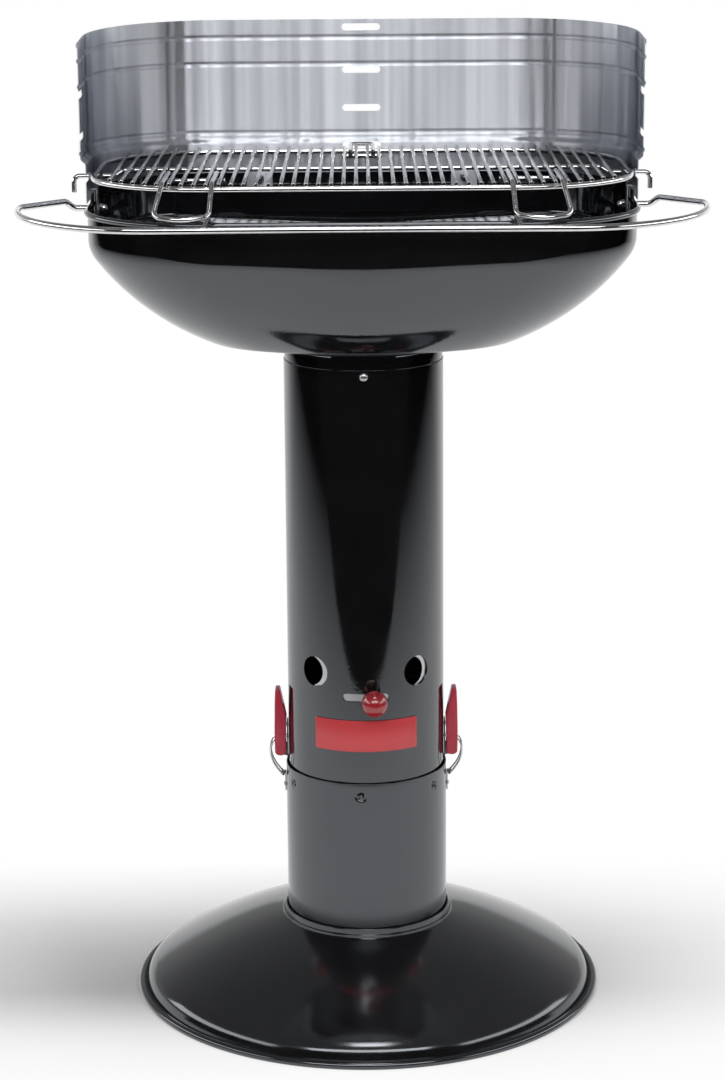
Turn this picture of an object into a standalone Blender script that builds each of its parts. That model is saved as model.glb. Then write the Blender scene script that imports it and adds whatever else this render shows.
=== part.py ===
# Pedestal barbecue grill, built piece by piece.
# Metres, +Z up, front towards -Y, origin on the floor under the column's axis.

from math import asin, cos, floor, pi, radians, sin, sqrt, tan

import bmesh
import bpy
from mathutils import Matrix, Vector

# Clearances
GAP = 0.0004            # between faces that touch on the real grill
ROUND_FIT = 0.0006      # radial, between nested round sheets
HOLE_FIT = 0.0004       # radial, between a shank and its hole
CUT_REACH = 0.0080      # how far a round cutter reaches each side of a sheet
WIRE_BEND = 0.0060      # radius of the bends in the grate's and the rail's wires

# Foot
FOOT_RADIUS = 0.2483
FOOT_ROLL = 0.0082      # height of the rolled rim
FOOT_STEP = 0.0100      # height of the step inside the roll
FOOT_SHEET = 0.0015
FOOT_CROWN = 0.0050     # how much the dish bulges above a straight cone
FOOT_RING_TOP = 0.0885  # top of the raised ring round the pot
FOOT_RING = ((0.0, -0.0010), (0.0012, 0.0), (0.0032, -0.0008), (0.0040, -0.0030), (0.0038, -0.0048),
             (0.0056, -0.0058), (0.0060, -0.0078))      # its section, outside its bore and above its top
FOOT_DISH_START = (0.0080, -0.0095)     # where the dish begins, from the same point
FOOT_DISH_END = 0.0108      # where the dish ends, inside the rim
FOOT_STEP_WALL = (0.0082, 0.0022)       # inside the rim, below the dish's end
FOOT_RIM = ((0.0074, 1.07), (0.0048, 1.0), (0.0016, 0.83), (0.0, 0.5), (0.0008, 0.2), (0.0024, 0.0))
FOOT_RIM_BACK = ((0.0068, 0.0), (0.0088, 0.4), (0.0096, 1.8))   # both inside the rim, in shares of the roll

# Ash pot
POT_FLOOR = 0.0800      # underside of the pot above the ground
POT_HEIGHT = 0.1680
POT_SHEET = 0.0012
POT_ROUND = 0.0045      # between its floor and its wall
POT_LOOSE = 0.00155     # radial room between the pot's mouth and the column
DIMPLE_DROP = 0.0140    # dimples below the pot's mouth
DIMPLE_RADIUS = 0.0050  # at the pot's wall, on the inside
DIMPLE_TIP = 0.0026
DIMPLE_DEPTH = 0.0036
DIMPLE_COUNT = 6
DIMPLE_TURN = radians(-4)
POT_BOLT_RADIUS = 0.0040
POT_BOLT_HEAD = (0.0075, 0.0045)    # radius and height
POT_BOLT_LENGTH = 0.0180
POT_NUT = (0.0065, 0.0065)  # half width and height
SEAL_RADIUS = 0.0100
SEAL_SHEET = 0.0015

# Column
TUBE_RADIUS = 0.0825
TUBE_SHEET = 0.0012
TUBE_LENGTH = 0.4455
VENT_RADIUS = 0.0160
VENT_AZIMUTH = radians(40)
VENT_RISE = 0.1262      # vents' centres above the column's lower edge
SLOT_RISE = 0.1022      # damper slot's centre above the column's lower edge
SLOT_HALF_ANGLE = radians(17)
SLOT_HEIGHT = 0.0088

# Damper
SLEEVE_SHEET = 0.0010
SLEEVE_HEIGHT = 0.0720
SLEEVE_TURN = radians(-4.8)
STEM_RADIUS = 0.0030
STEM_COLLAR = (0.0010, 0.0060)      # width and length
STEM_TAPER = 0.0005
STEM_TAIL = 0.0065      # inside the sleeve
STEM_END = 0.0061       # inside the knob's centre
DAMPER_NUT = (0.0052, 0.0040)       # half width and height
STEM_TURN = radians(5)
KNOB_RADIUS = 0.0136
KNOB_REACH = 0.0205     # knob's centre outside the column

# Label plate
LABEL_HEIGHT = 0.0335
LABEL_HALF_ANGLE = radians(39)
LABEL_SHEET = 0.0008
LABEL_DROP = 0.0243     # label's upper edge below the slot's centre

# Latches
LEVER_LENGTH = 0.0685   # pivot to tip
LEVER_WIDTH = 0.0200
LEVER_WALL = 0.0025
LATCH_BORE_WALL = 0.0007    # left outside the blind bores
LATCH_END_LOOSE = 0.0004    # between a pin's end and its bore's end
LEVER_GRIP = 0.0520     # pivot to where the lever is solid
LEVER_WINDOW = 0.0410   # pivot to the upper end of its outer opening
LEVER_TIP_DEPTH = 0.0052
LEVER_TIP_ROUND = (0.0008, 0.0020)
LEVER_INNER_EDGE = ((0.0004, 0.0200), (-0.0004, 0.0370), (0.0022, 0.0500))  # from its inner side, and up
LEVER_OUTER_EDGE = ((-0.0014, 0.0685), (-0.0008, 0.0667), (-0.0002, 0.0520), (0.0004, 0.0200))
LEVER_PIVOT_RISE = 0.0115   # pivot above the pot's mouth
LEVER_BOTTOM_RADIUS = 0.0060
LATCH_PLATE = 0.0013
LATCH_PLATE_HALF_WIDTH = 0.0068
LATCH_PLATE_DROP = 0.0090   # plate below the lever's pivot
LATCH_RIVET_RISES = (0.0150, 0.0280)    # above the lever's pivot
LATCH_PIN_RADIUS = 0.0015
EAR_SHEET = 0.0015
EAR_SPREAD = 0.00375     # ear's middle from the latch's middle plane
EAR_NOSE = 0.0036           # outside the lever's pivot
EAR_SHAPE = ((-0.0026, -0.0040), (0.0, -0.0015), (0.0, 0.0015), (-0.0026, 0.0040))  # from nose and pivot
EAR_ROOT = (-0.0055, 0.0075)    # lower and upper end on the plate
BAIL_RADIUS = 0.0012
BAIL_PIVOT_RISE = 0.0200    # bail's pivot above the lever's pivot
BAIL_PIVOT_SET = 0.0030     # and inside it, towards the column
BAIL_DROP = 0.0467          # crossbar below the bail's pivot
BAIL_BULGE = 0.0138         # how far the legs swing outside the bail's pivot
BAIL_BORE_LOOSE = 0.0003
BAIL_SHAPE = ((0.58, 0.14), (1.0, 0.37), (0.74, 0.70))  # the legs' way, in shares of bulge and drop
BAIL_HOOK = (0.0022, 0.0034)    # where the legs turn in to the crossbar
BAIL_BEND = 0.0040
CATCH_SHEET = 0.0010
CATCH_LIP = 0.0006          # lip's overlap outside the crossbar
RIVET_RADIUS = 0.0016
RIVET_HEAD = 0.0028         # head's radius
RIVET_RISE = 0.0010         # head's height
CATCH_RIVET_DROP = 0.0115   # below the crossbar

# Bowl
BOWL_HALF_X = 0.2750
BOWL_HALF_Y = 0.1750
BOWL_CORNER = 0.1260
BOWL_SHEET = 0.0015
BOWL_WALL_HEIGHT = 0.0265   # straight wall below the bead
BOWL_SHOULDER = 0.0350      # radius between the wall and the belly
BOWL_SHOULDER_TURN = radians(35)
BOWL_BELLY = 0.2580         # radius of the belly
BEAD_RADIUS = 0.0032
COLLAR_HEIGHT = 0.0120      # raised collar above the bead's centre, back and sides
COLLAR_FRONT = -0.0200      # Y at which the collar steps down
NECK_RADIUS = 0.0785        # where the belly ends
NECK_SHOW = 0.0028          # neck seen above the column
NECK_LENGTH = 0.0150        # neck inside the column
NECK_FLARE = 0.0030         # where the neck reaches its full width, below the column's upper edge
COLLAR_STEP = ((-0.0080, 0.0), (0.0, 0.0020), (0.0050, 0.0220))    # the step's slope, from its foot
NECK_SCREW_COUNT = 3
NECK_SCREW_DROP = 0.0065    # screws below the column's upper edge
NECK_SCREW_RADIUS = 0.0022
NECK_SCREW_HEAD = (0.0044, 0.0032)  # radius and height
NECK_SCREW_LENGTH = 0.0090
NECK_NUT = (0.0040, 0.0032)     # half width and height

# Fire grate
FIRE_GRATE_ANGLE = radians(63)  # where on the belly's arc it rests
FIRE_WIRE = 0.0025
FIRE_BAR_PITCH = 0.0200
FIRE_BAR_MARGIN = 0.0120

# Windscreen
SCREEN_SHEET = 0.0009
SCREEN_OFFSET = 0.0032      # skirt outside the bowl's wall
SCREEN_HEIGHT = 0.1700
SCREEN_FLARE = 0.0048       # upper part outside the skirt
SCREEN_FLARE_RISE = 0.0400  # joggle above the skirt's lower edge
SCREEN_DROP = 0.0100        # wings' top edge lower than the back
SCREEN_BEADS = (0.0502, 0.1232, 0.1512)     # above the lower edge
SCREEN_BEAD_DEPTH = 0.0014
SCREEN_BEAD_HALF = 0.0030
SCREEN_JOGGLE_HALF = 0.0020
SCREEN_HEM = 0.0012
SCREEN_HEM_HEIGHT = 0.0045
SCREEN_HEM_ROUND = 0.0007
SCREEN_CUT = 0.0300     # depth of the cutters of its slots and notches
SCREEN_SLOT_WIDTH = 0.0410
SCREEN_SLOT_HEIGHT = 0.0080
TAB_WIDTH = 0.0280
SIDE_TAB_WIDTH = 0.0210
TAB_SHEET = 0.0012
TAB_X = 0.1100
TAB_DROP = 0.0155           # rear tabs below the collar's edge
TAB_BOLT_DROP = 0.0055      # rear bolts below the collar's edge
SCREEN_BOLT_RADIUS = 0.0020
SCREEN_BOLT_HEAD = (0.0038, 0.0024)     # radius and height
TAB_ROUND = 0.0006
NOTCH_LEAD = 0.0100         # notch cutters start in front of the wings

# Cooking grate
GRATE_INSET = 0.0070        # frame wire's centre inside the bowl's wall, along X
GRATE_INSET_Y = 0.0040
GRATE_RISE = 0.0345         # frame wire's centre above the rim bead's
FRAME_WIRE = 0.0030
BAR_WIRE = 0.0020
BAR_SINK = 0.0008           # how far a bar is welded into the frame
BAR_PITCH = 0.0120
BAR_MARGIN = 0.0200         # outer bars inside the frame's ends
SUPPORT_WIRE = 0.0025
SUPPORT_Y = 0.0100
SUPPORT_INSET = 0.0260      # where it starts down, inside the frame's ends
SUPPORT_STEP = 0.0090       # length of its step under the frame
HOOK_REACH = 0.0160         # hooks outside the windscreen's skirt
HOOK_DROP = 0.0170
LEVEL_STEP = 0.0420         # between the grate's height positions
LEVEL_COUNT = 4
HANDLE_OUTER_GAP = 5        # handle legs lie in these gaps between bars, counted from the frame's ends
HANDLE_INNER_GAP = 9
HANDLE_BACK = 0.0820        # cross bar behind the frame's front wire
HANDLE_FORWARD = 0.0290
HANDLE_DROP = 0.0278
HANDLE_SPREAD = 0.0070
HANDLE_INNER_SHARE = 0.3    # share of the spread on its inner side
HANDLE_BOW = (0.0100, 0.0030)       # how far its grip bows forward and down
HANDLE_DIP = 0.0010         # where it leaves the frame
CROSS_BAR_SPARE = 0.0090    # cross bars beyond the legs they carry
LEG_SPARE = 0.0190          # legs beyond their cross bar
TONGUE_GAP = 1
TONGUE_REACH = 0.0170       # behind the frame's rear wire
TONGUE_LENGTH = 0.0700
TONGUE_BEND = 0.0070
TONGUE_CROSS = 0.0120       # cross bar behind the tongue's ends

# Utensil rail
RAIL_WIRE = 0.0033
RAIL_REACH_X = 0.0717       # outside the bowl's wall
RAIL_REACH_Y = 0.0310
RAIL_FRONT_HALF = 0.2000    # half length of the straight front
RAIL_SIDE_Y = -0.0300       # where the rail is widest
RAIL_RETURN_X = 0.0300      # where the branch starts down to its end
RAIL_RETURN_Y = 0.0280
RAIL_END_Y = 0.0340
RAIL_END_DROP = 0.0075      # threaded end below the bead's centre
RAIL_TURN = (0.0005, 0.0100)        # where the wire turns back, inside its widest point and behind it
RAIL_END_X = 0.0220         # where it turns into its end, outside the bowl's wall
RAIL_TAPER = 0.0005         # length over which the wire narrows to its thread
RAIL_STUD_RADIUS = 0.0024
WASHER_RADIUS = 0.0040
WASHER_SHEET = 0.0010
HOOK_INSET = 0.0010         # hooks that carry the rail's front, inside the start of the bowl's corners
HOOK_LEAN = 0.0040          # how far a hook leans outwards to the rail
HOOK_FLAT = 0.0080          # how far it runs level over the bead
HOOK_LIFT = 0.0010
HOOK_TIP = 0.0150           # its drop inside the bowl
HOOK_BEND = 0.0040
NUT_HALF_WIDTH = 0.0042
NUT_HEIGHT = 0.0045
DOME_HEIGHT = 0.0050
DOME_SHARE = 0.88           # dome's width in shares of the nut's
NUT_BORE_SPARE = 0.0008     # bore beyond the hexagon

# Facets
TUBE_STEPS = 36
FOOT_STEPS = 36
CORNER_STEPS = 8
WIRE_SIDES = 6

# Worked out from the sizes above
POT_INSIDE = TUBE_RADIUS + POT_LOOSE
POT_RADIUS = POT_INSIDE + POT_SHEET
POT_TOP = POT_FLOOR + POT_HEIGHT
DIMPLE_Z = POT_TOP - DIMPLE_DROP
TUBE_INSIDE = TUBE_RADIUS - TUBE_SHEET
DIMPLE_SHARE = (POT_INSIDE - TUBE_RADIUS) / DIMPLE_DEPTH
TUBE_BOTTOM = DIMPLE_Z + DIMPLE_RADIUS + (DIMPLE_TIP - DIMPLE_RADIUS) * DIMPLE_SHARE + GAP
TUBE_TOP = TUBE_BOTTOM + TUBE_LENGTH
VENT_Z = TUBE_BOTTOM + VENT_RISE
SLOT_Z = TUBE_BOTTOM + SLOT_RISE
SLEEVE_OUTSIDE = TUBE_INSIDE - ROUND_FIT
NECK_OUTSIDE = TUBE_INSIDE - ROUND_FIT
NECK_SCREW_Z = TUBE_TOP - NECK_SCREW_DROP
BELLY_X = BOWL_HALF_X - BOWL_SHOULDER + (BOWL_SHOULDER - BOWL_BELLY) * cos(BOWL_SHOULDER_TURN)
BELLY_END = pi / 2 - asin((NECK_RADIUS - BELLY_X) / BOWL_BELLY)
BELLY_Z = TUBE_TOP + NECK_SHOW + BOWL_BELLY * sin(BELLY_END)
SHOULDER_Z = BELLY_Z - (BOWL_BELLY - BOWL_SHOULDER) * sin(BOWL_SHOULDER_TURN)
RIM_Z = SHOULDER_Z + BOWL_WALL_HEIGHT
COLLAR_TOP = RIM_Z + COLLAR_HEIGHT
SCREEN_BOTTOM = RIM_Z + BEAD_RADIUS + GAP
SCREEN_CORNER = BOWL_CORNER + SCREEN_OFFSET
GRATE_HALF_X = BOWL_HALF_X - GRATE_INSET
GRATE_HALF_Y = BOWL_HALF_Y - GRATE_INSET_Y
GRATE_CORNER = BOWL_CORNER - GRATE_INSET
HALF_BARS = floor((GRATE_HALF_X - BAR_MARGIN) / BAR_PITCH + 0.5)
FRAME_Z = RIM_Z + GRATE_RISE
BAR_Z = FRAME_Z + FRAME_WIRE + BAR_WIRE - BAR_SINK
SUPPORT_Z = BAR_Z - BAR_WIRE - SUPPORT_WIRE - GAP
HOOK_Z = FRAME_Z - FRAME_WIRE - SUPPORT_WIRE - GAP
LEG_Z = FRAME_Z + FRAME_WIRE + SUPPORT_WIRE + GAP
RAIL_X = BOWL_HALF_X + RAIL_REACH_X
RAIL_Y = BOWL_HALF_Y + RAIL_REACH_Y
RAIL_END_Z = RIM_Z - RAIL_END_DROP
HOOK_X = BOWL_HALF_X - BOWL_CORNER - HOOK_INSET
LATCH_PIVOT_X = TUBE_RADIUS + GAP + LATCH_PLATE + LEVER_BOTTOM_RADIUS + 2 * GAP
LATCH_PIVOT_Z = POT_TOP + LEVER_PIVOT_RISE
BAIL_PIVOT_X = LATCH_PIVOT_X - BAIL_PIVOT_SET
BAIL_PIVOT_Z = LATCH_PIVOT_Z + BAIL_PIVOT_RISE
CATCH_FACE = POT_RADIUS + GAP + CATCH_SHEET
CROSSBAR_X = CATCH_FACE + GAP + BAIL_RADIUS
CROSSBAR_Z = BAIL_PIVOT_Z - BAIL_DROP


def clear_scene():
    for thing in list(bpy.data.objects):
        bpy.data.objects.remove(thing, do_unlink=True)


def paint(name, color, roughness, metallic):
    finish = bpy.data.materials.new(name)
    finish.use_nodes = True
    finish.diffuse_color = (*color, 1.0)
    shader = finish.node_tree.nodes["Principled BSDF"]
    shader.inputs["Base Color"].default_value = (*color, 1.0)
    shader.inputs["Roughness"].default_value = roughness
    shader.inputs["Metallic"].default_value = metallic
    return finish


def enamel(name):
    return paint(name, (0.012, 0.012, 0.014), 0.12, 0.0)


def chrome(name):
    return paint(name, (0.72, 0.73, 0.75), 0.15, 1.0)


def steel(name):
    return paint(name, (0.62, 0.63, 0.65), 0.28, 1.0)


def red_plastic(name):
    return paint(name, (0.42, 0.02, 0.04), 0.30, 0.0)


def finish_object(name, shape, finish, sharp=radians(35)):
    # turns a bmesh into a linked object with outward faces
    bmesh.ops.recalc_face_normals(shape, faces=shape.faces)
    mesh = bpy.data.meshes.new(name)
    shape.to_mesh(mesh)
    shape.free()
    mesh.shade_smooth()
    mesh.set_sharp_from_angle(angle=sharp)
    thing = bpy.data.objects.new(name, mesh)
    bpy.context.scene.collection.objects.link(thing)
    if finish:
        mesh.materials.append(finish)
    return thing


def skin_rings(shape, rings, wrap=False):
    # bridges rings of vertices; wrap joins the last ring to the first, otherwise both ends are capped
    pairs = list(zip(rings, rings[1:]))
    if wrap:
        pairs.append((rings[-1], rings[0]))
    for lower, upper in pairs:
        count = len(lower)
        for i in range(count):
            j = (i + 1) % count
            shape.faces.new((lower[i], lower[j], upper[j], upper[i]))
    if not wrap:
        shape.faces.new(rings[0])
        shape.faces.new(reversed(rings[-1]))


def loft(name, rings, finish, wrap=False):
    shape = bmesh.new()
    skin_rings(shape, [[shape.verts.new(point) for point in ring] for ring in rings], wrap)
    return finish_object(name, shape, finish)


def turned(name, profile, finish, steps=TUBE_STEPS, closed=True):
    # spins a profile of (radius, height) points about Z; an open one starts and ends on the axis
    shape = bmesh.new()
    verts = [shape.verts.new((radius, 0, height)) for radius, height in profile]
    edges = [shape.edges.new(pair) for pair in zip(verts, verts[1:])]
    if closed:
        edges.append(shape.edges.new((verts[-1], verts[0])))
    bmesh.ops.spin(shape, geom=verts + edges, cent=(0, 0, 0), axis=(0, 0, 1), angle=2 * pi,
                   steps=steps, use_merge=True)
    bmesh.ops.remove_doubles(shape, verts=shape.verts, dist=1e-6)
    return finish_object(name, shape, finish)


def sweep_rings(shape, path, radius, sides, up, closed=False):
    # a ring of vertices square to the path at each of its points
    count = len(path)
    rings = []
    normal = Vector(up)
    for i, point in enumerate(path):
        before = path[i - 1] if closed or i > 0 else point
        after = path[(i + 1) % count] if closed or i < count - 1 else point
        tangent = (after - before).normalized()
        normal = (normal - tangent * normal.dot(tangent)).normalized()
        side = tangent.cross(normal)
        size = radius[i] if isinstance(radius, list) else radius
        turns = [2 * pi * k / sides for k in range(sides)]
        rings.append([shape.verts.new(point + (normal * cos(t) + side * sin(t)) * size) for t in turns])
    skin_rings(shape, rings, wrap=closed)


def wire(name, path, radius, finish, up=(0, 0, 1), closed=False, sides=WIRE_SIDES):
    shape = bmesh.new()
    sweep_rings(shape, path, radius, sides, up, closed)
    return finish_object(name, shape, finish)


def bent(points, radius, steps=4):
    # replaces each inner corner of a path by an arc
    path = [Vector(points[0])]
    for before, corner, after in zip(points, points[1:], points[2:]):
        corner = Vector(corner)
        back = Vector(before) - corner
        on = Vector(after) - corner
        half = back.angle(on) / 2
        reach = min(radius / tan(half), 0.48 * back.length, 0.48 * on.length)
        start = corner + back.normalized() * reach
        end = corner + on.normalized() * reach
        middle = (back.normalized() + on.normalized()).normalized()
        center = corner + middle * (reach / cos(half))
        size = (start - center).length
        path += [center + (start - center).slerp(end - center, k / steps) * size for k in range(steps + 1)]
    path.append(Vector(points[-1]))
    return path


def rounded_rectangle(half_x, half_y, corner, steps=CORNER_STEPS):
    # plan points, each corner an arc of the same count
    points = []
    for sign_x, sign_y, start in ((1, -1, -pi / 2), (1, 1, 0), (-1, 1, pi / 2), (-1, -1, pi)):
        center_x = sign_x * (half_x - corner)
        center_y = sign_y * (half_y - corner)
        for k in range(steps + 1):
            angle = start + (pi / 2) * k / steps
            points.append((center_x + corner * cos(angle), center_y + corner * sin(angle)))
    return points


def extrude_outline(name, outline, depth, finish, axes="XZ"):
    # a flat outline given width depth about the third axis
    shape = bmesh.new()
    rings = []
    for offset in (-depth / 2, depth / 2):
        if axes == "XZ":
            rings.append([shape.verts.new((a, offset, b)) for a, b in outline])
        else:
            rings.append([shape.verts.new((offset, a, b)) for a, b in outline])
    skin_rings(shape, rings)
    return finish_object(name, shape, finish)


def block(name, low, high, finish=None):
    outline = [(low[0], low[2]), (high[0], low[2]), (high[0], high[2]), (low[0], high[2])]
    thing = extrude_outline(name, outline, high[1] - low[1], finish)
    thing.data.transform(Matrix.Translation((0, (low[1] + high[1]) / 2, 0)))
    return thing


def rod(name, start, end, radius, sides=12, finish=None):
    start = Vector(start)
    along = Vector(end) - start
    shape = bmesh.new()
    bmesh.ops.create_cone(shape, cap_ends=True, segments=sides, radius1=radius, radius2=radius,
                          depth=along.length)
    turn = along.to_track_quat("Z", "Y").to_matrix().to_4x4()
    bmesh.ops.transform(shape, matrix=Matrix.Translation(start + along / 2) @ turn, verts=shape.verts)
    return finish_object(name, shape, finish)


def slot_block(name, center, half_length, half_height, depth):
    # a tool with round ends that cuts a slot; depth is its length through the sheet
    steps = 6
    straight = half_length - half_height
    outline = []
    for sign, start in ((1, -pi / 2), (-1, pi / 2)):
        for k in range(steps + 1):
            angle = start + pi * k / steps
            outline.append((sign * straight + half_height * cos(angle), half_height * sin(angle)))
    thing = extrude_outline(name, outline, depth, None)
    thing.data.transform(Matrix.Translation(center))
    return thing


def combine(target, tool, operation="DIFFERENCE"):
    tool.hide_render = True
    tool.display_type = "WIRE"
    change = target.modifiers.new(tool.name, "BOOLEAN")
    change.operation = operation
    change.solver = "EXACT"
    change.object = tool
    return target


def attach(parent, *children):
    # children keep their places and follow the parent
    for child in children:
        child.parent = parent
        child.matrix_parent_inverse = parent.matrix_world.inverted()


def join_meshes(name, things):
    # gathers separate solids in one object, for use as one tool
    shape = bmesh.new()
    for thing in things:
        shape.from_mesh(thing.data)
        bpy.data.objects.remove(thing, do_unlink=True)
    return finish_object(name, shape, None)


def set_origin(thing, point):
    thing.data.transform(Matrix.Translation(-Vector(point)))
    thing.location = point
    bpy.context.view_layer.update()
    return thing


def face_along(thing, point, direction):
    # puts a piece modelled along +Z at a point, turned to a direction
    thing.location = point
    thing.rotation_euler = Vector(direction).to_track_quat("Z", "Y").to_euler()
    bpy.context.view_layer.update()
    return thing


def radial(azimuth):
    # azimuth 0 points to the front, growing towards +X
    return Vector((sin(azimuth), -cos(azimuth), 0))


def tube_profile(inside, outside, bottom, top):
    return [(inside, bottom), (outside, bottom), (outside, top), (inside, top)]


def headed_shank(name, head, shank_radius, length, finish, steps=12):
    # dome head above Z 0, shank below it
    head_radius, head_height = head
    profile = [(0, head_height)]
    for k in range(1, 4):
        angle = pi / 2 * (1 - k / 3)
        profile.append((head_radius * cos(angle), head_height * (0.25 + 0.75 * sin(angle))))
    profile += [(head_radius, 0), (shank_radius, 0), (shank_radius, -length), (0, -length)]
    return turned(name, profile, finish, steps, closed=False)


def hex_ring(half_width, height):
    points = []
    for k in range(12):
        angle = pi * k / 6
        size = half_width / cos(pi / 6) if k % 2 == 0 else half_width
        points.append(Vector((size * cos(angle), size * sin(angle), height)))
    return points


def circle_ring(radius, height, count=12):
    return [Vector((radius * cos(2 * pi * k / count), radius * sin(2 * pi * k / count), height))
            for k in range(count)]


def acorn_nut(name, bore, bore_depth, finish):
    # blind nut on Z 0, dome up, with a bore that takes the shank
    rings = [circle_ring(bore, bore_depth), circle_ring(bore, 0), hex_ring(NUT_HALF_WIDTH, 0),
             hex_ring(NUT_HALF_WIDTH, NUT_HEIGHT)]
    dome = NUT_HALF_WIDTH * DOME_SHARE
    for k in range(4):
        angle = pi / 2 * k / 4
        rise = DOME_HEIGHT * (0.8 * sin(angle) + (0.2 if k else 0.0))
        rings.append(circle_ring(dome * cos(angle), NUT_HEIGHT + rise))
    return loft(name, rings, finish)


def plain_nut(name, bore, size, finish):
    half_width, height = size
    rings = [circle_ring(bore, 0), hex_ring(half_width, 0), hex_ring(half_width, height),
             circle_ring(bore, height)]
    return loft(name, rings, finish, wrap=True)


def washer(name, bore, radius, sheet, finish):
    return turned(name, tube_profile(bore, radius, 0, sheet), finish, 16)


def make_foot():
    seat = POT_FLOOR - GAP
    inside = POT_RADIUS + ROUND_FIT
    hole = POT_BOLT_RADIUS + HOLE_FIT
    dish_end = (FOOT_RADIUS - FOOT_DISH_END, FOOT_ROLL + FOOT_STEP)
    dish_start = (inside + FOOT_DISH_START[0], FOOT_RING_TOP + FOOT_DISH_START[1])
    steps = 4
    dish = []
    for k in range(steps + 1):
        share = k / steps
        radius = dish_start[0] + (dish_end[0] - dish_start[0]) * share
        height = dish_start[1] + (dish_end[1] - dish_start[1]) * share
        dish.append((radius, height + FOOT_CROWN * 4 * share * (1 - share)))
    above = [(hole, seat), (inside, seat)]
    above += [(inside + out, FOOT_RING_TOP + rise) for out, rise in FOOT_RING]
    above += dish
    above.append((FOOT_RADIUS - FOOT_STEP_WALL[0], dish_end[1] - FOOT_STEP_WALL[1]))
    above += [(FOOT_RADIUS - inset, FOOT_ROLL * share) for inset, share in FOOT_RIM]
    below = [(FOOT_RADIUS - inset, FOOT_ROLL * share) for inset, share in FOOT_RIM_BACK]
    below += [(radius - FOOT_SHEET / 2, height - FOOT_SHEET) for radius, height in reversed(dish)]
    below.append((hole, seat - FOOT_SHEET))
    return turned("base_plate", above + below, enamel("foot_enamel"), FOOT_STEPS)


def make_pot():
    hole = POT_BOLT_RADIUS + HOLE_FIT
    turns = [pi / 4 * k for k in range(3)]
    corner = [[(POT_RADIUS - POT_ROUND + size * sin(turn), POT_FLOOR + POT_ROUND - size * cos(turn))
               for turn in turns] for size in (POT_ROUND, POT_ROUND - POT_SHEET)]
    outside = [(hole, POT_FLOOR)] + corner[0] + [(POT_RADIUS, POT_TOP)]
    inside = [(POT_INSIDE, POT_TOP)] + corner[1][::-1] + [(hole, POT_FLOOR + POT_SHEET)]
    pot = turned("ash_pot", outside + inside, enamel("pot_enamel"))
    bumps = []
    dents = []
    slope = (DIMPLE_RADIUS - DIMPLE_TIP) / DIMPLE_DEPTH
    for k in range(DIMPLE_COUNT):
        out = radial(DIMPLE_TURN + 2 * pi * k / DIMPLE_COUNT)
        level = Vector((0, 0, DIMPLE_Z))
        sunk = POT_SHEET / 2
        bumps.append(dimple_cone(level + out * (POT_INSIDE + sunk), out, DIMPLE_RADIUS + slope * sunk,
                                 DIMPLE_TIP, DIMPLE_DEPTH + sunk))
        dents.append(dimple_cone(level + out * (POT_RADIUS + sunk), out, DIMPLE_RADIUS + slope * sunk,
                                 DIMPLE_TIP - POT_SHEET * slope, DIMPLE_DEPTH + sunk))
    combine(pot, join_meshes("pot_bumps", bumps), "UNION")
    combine(pot, join_meshes("pot_dents", dents))
    return pot


def dimple_cone(start, out, radius, tip, depth):
    shape = bmesh.new()
    bmesh.ops.create_cone(shape, cap_ends=True, segments=8, radius1=radius, radius2=tip, depth=depth)
    turn = (-out).to_track_quat("Z", "Y").to_matrix().to_4x4()
    place = Matrix.Translation(start - out * depth / 2) @ turn
    bmesh.ops.transform(shape, matrix=place, verts=shape.verts)
    return finish_object("dimple", shape, None)


def make_pot_fixing():
    rubber = paint("seal_rubber", (0.03, 0.03, 0.03), 0.8, 0)
    seat = POT_FLOOR + POT_SHEET + GAP
    seal = washer("pot_seal", POT_BOLT_RADIUS + HOLE_FIT, SEAL_RADIUS, SEAL_SHEET, rubber)
    face_along(seal, (0, 0, seat), (0, 0, 1))
    bolt = headed_shank("pot_bolt", POT_BOLT_HEAD, POT_BOLT_RADIUS, POT_BOLT_LENGTH,
                        steel("pot_bolt_steel"), 16)
    face_along(bolt, (0, 0, seat + SEAL_SHEET + GAP), (0, 0, 1))
    nut = plain_nut("pot_nut", POT_BOLT_RADIUS + HOLE_FIT, POT_NUT, steel("pot_nut_steel"))
    face_along(nut, (0, 0, POT_FLOOR - 2 * GAP - FOOT_SHEET), (0, 0, -1))


def make_column():
    tube = turned("column_tube", tube_profile(TUBE_INSIDE, TUBE_RADIUS, TUBE_BOTTOM, TUBE_TOP),
                  enamel("column_enamel"))
    cuts = []
    for azimuth in (-VENT_AZIMUTH, VENT_AZIMUTH):
        out = radial(azimuth)
        middle = out * TUBE_RADIUS + Vector((0, 0, VENT_Z))
        cuts.append(rod("vent_cut", middle - out * CUT_REACH, middle + out * CUT_REACH, VENT_RADIUS, 20))
    cuts.append(arc_slot("slot_cut", TUBE_RADIUS, SLOT_Z, SLOT_HALF_ANGLE, SLOT_HEIGHT))
    for k in range(NECK_SCREW_COUNT):
        out = radial(2 * pi * k / NECK_SCREW_COUNT)
        middle = out * TUBE_RADIUS + Vector((0, 0, NECK_SCREW_Z))
        cuts.append(rod("screw_cut", middle - out * CUT_REACH, middle + out * CUT_REACH,
                        NECK_SCREW_RADIUS + HOLE_FIT))
    for side in (-1, 1):
        cuts += [rivet_bore("rivet_cut", side, TUBE_RADIUS, height) for height in rivet_heights()]
    return combine(tube, join_meshes("column_cuts", cuts))


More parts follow.
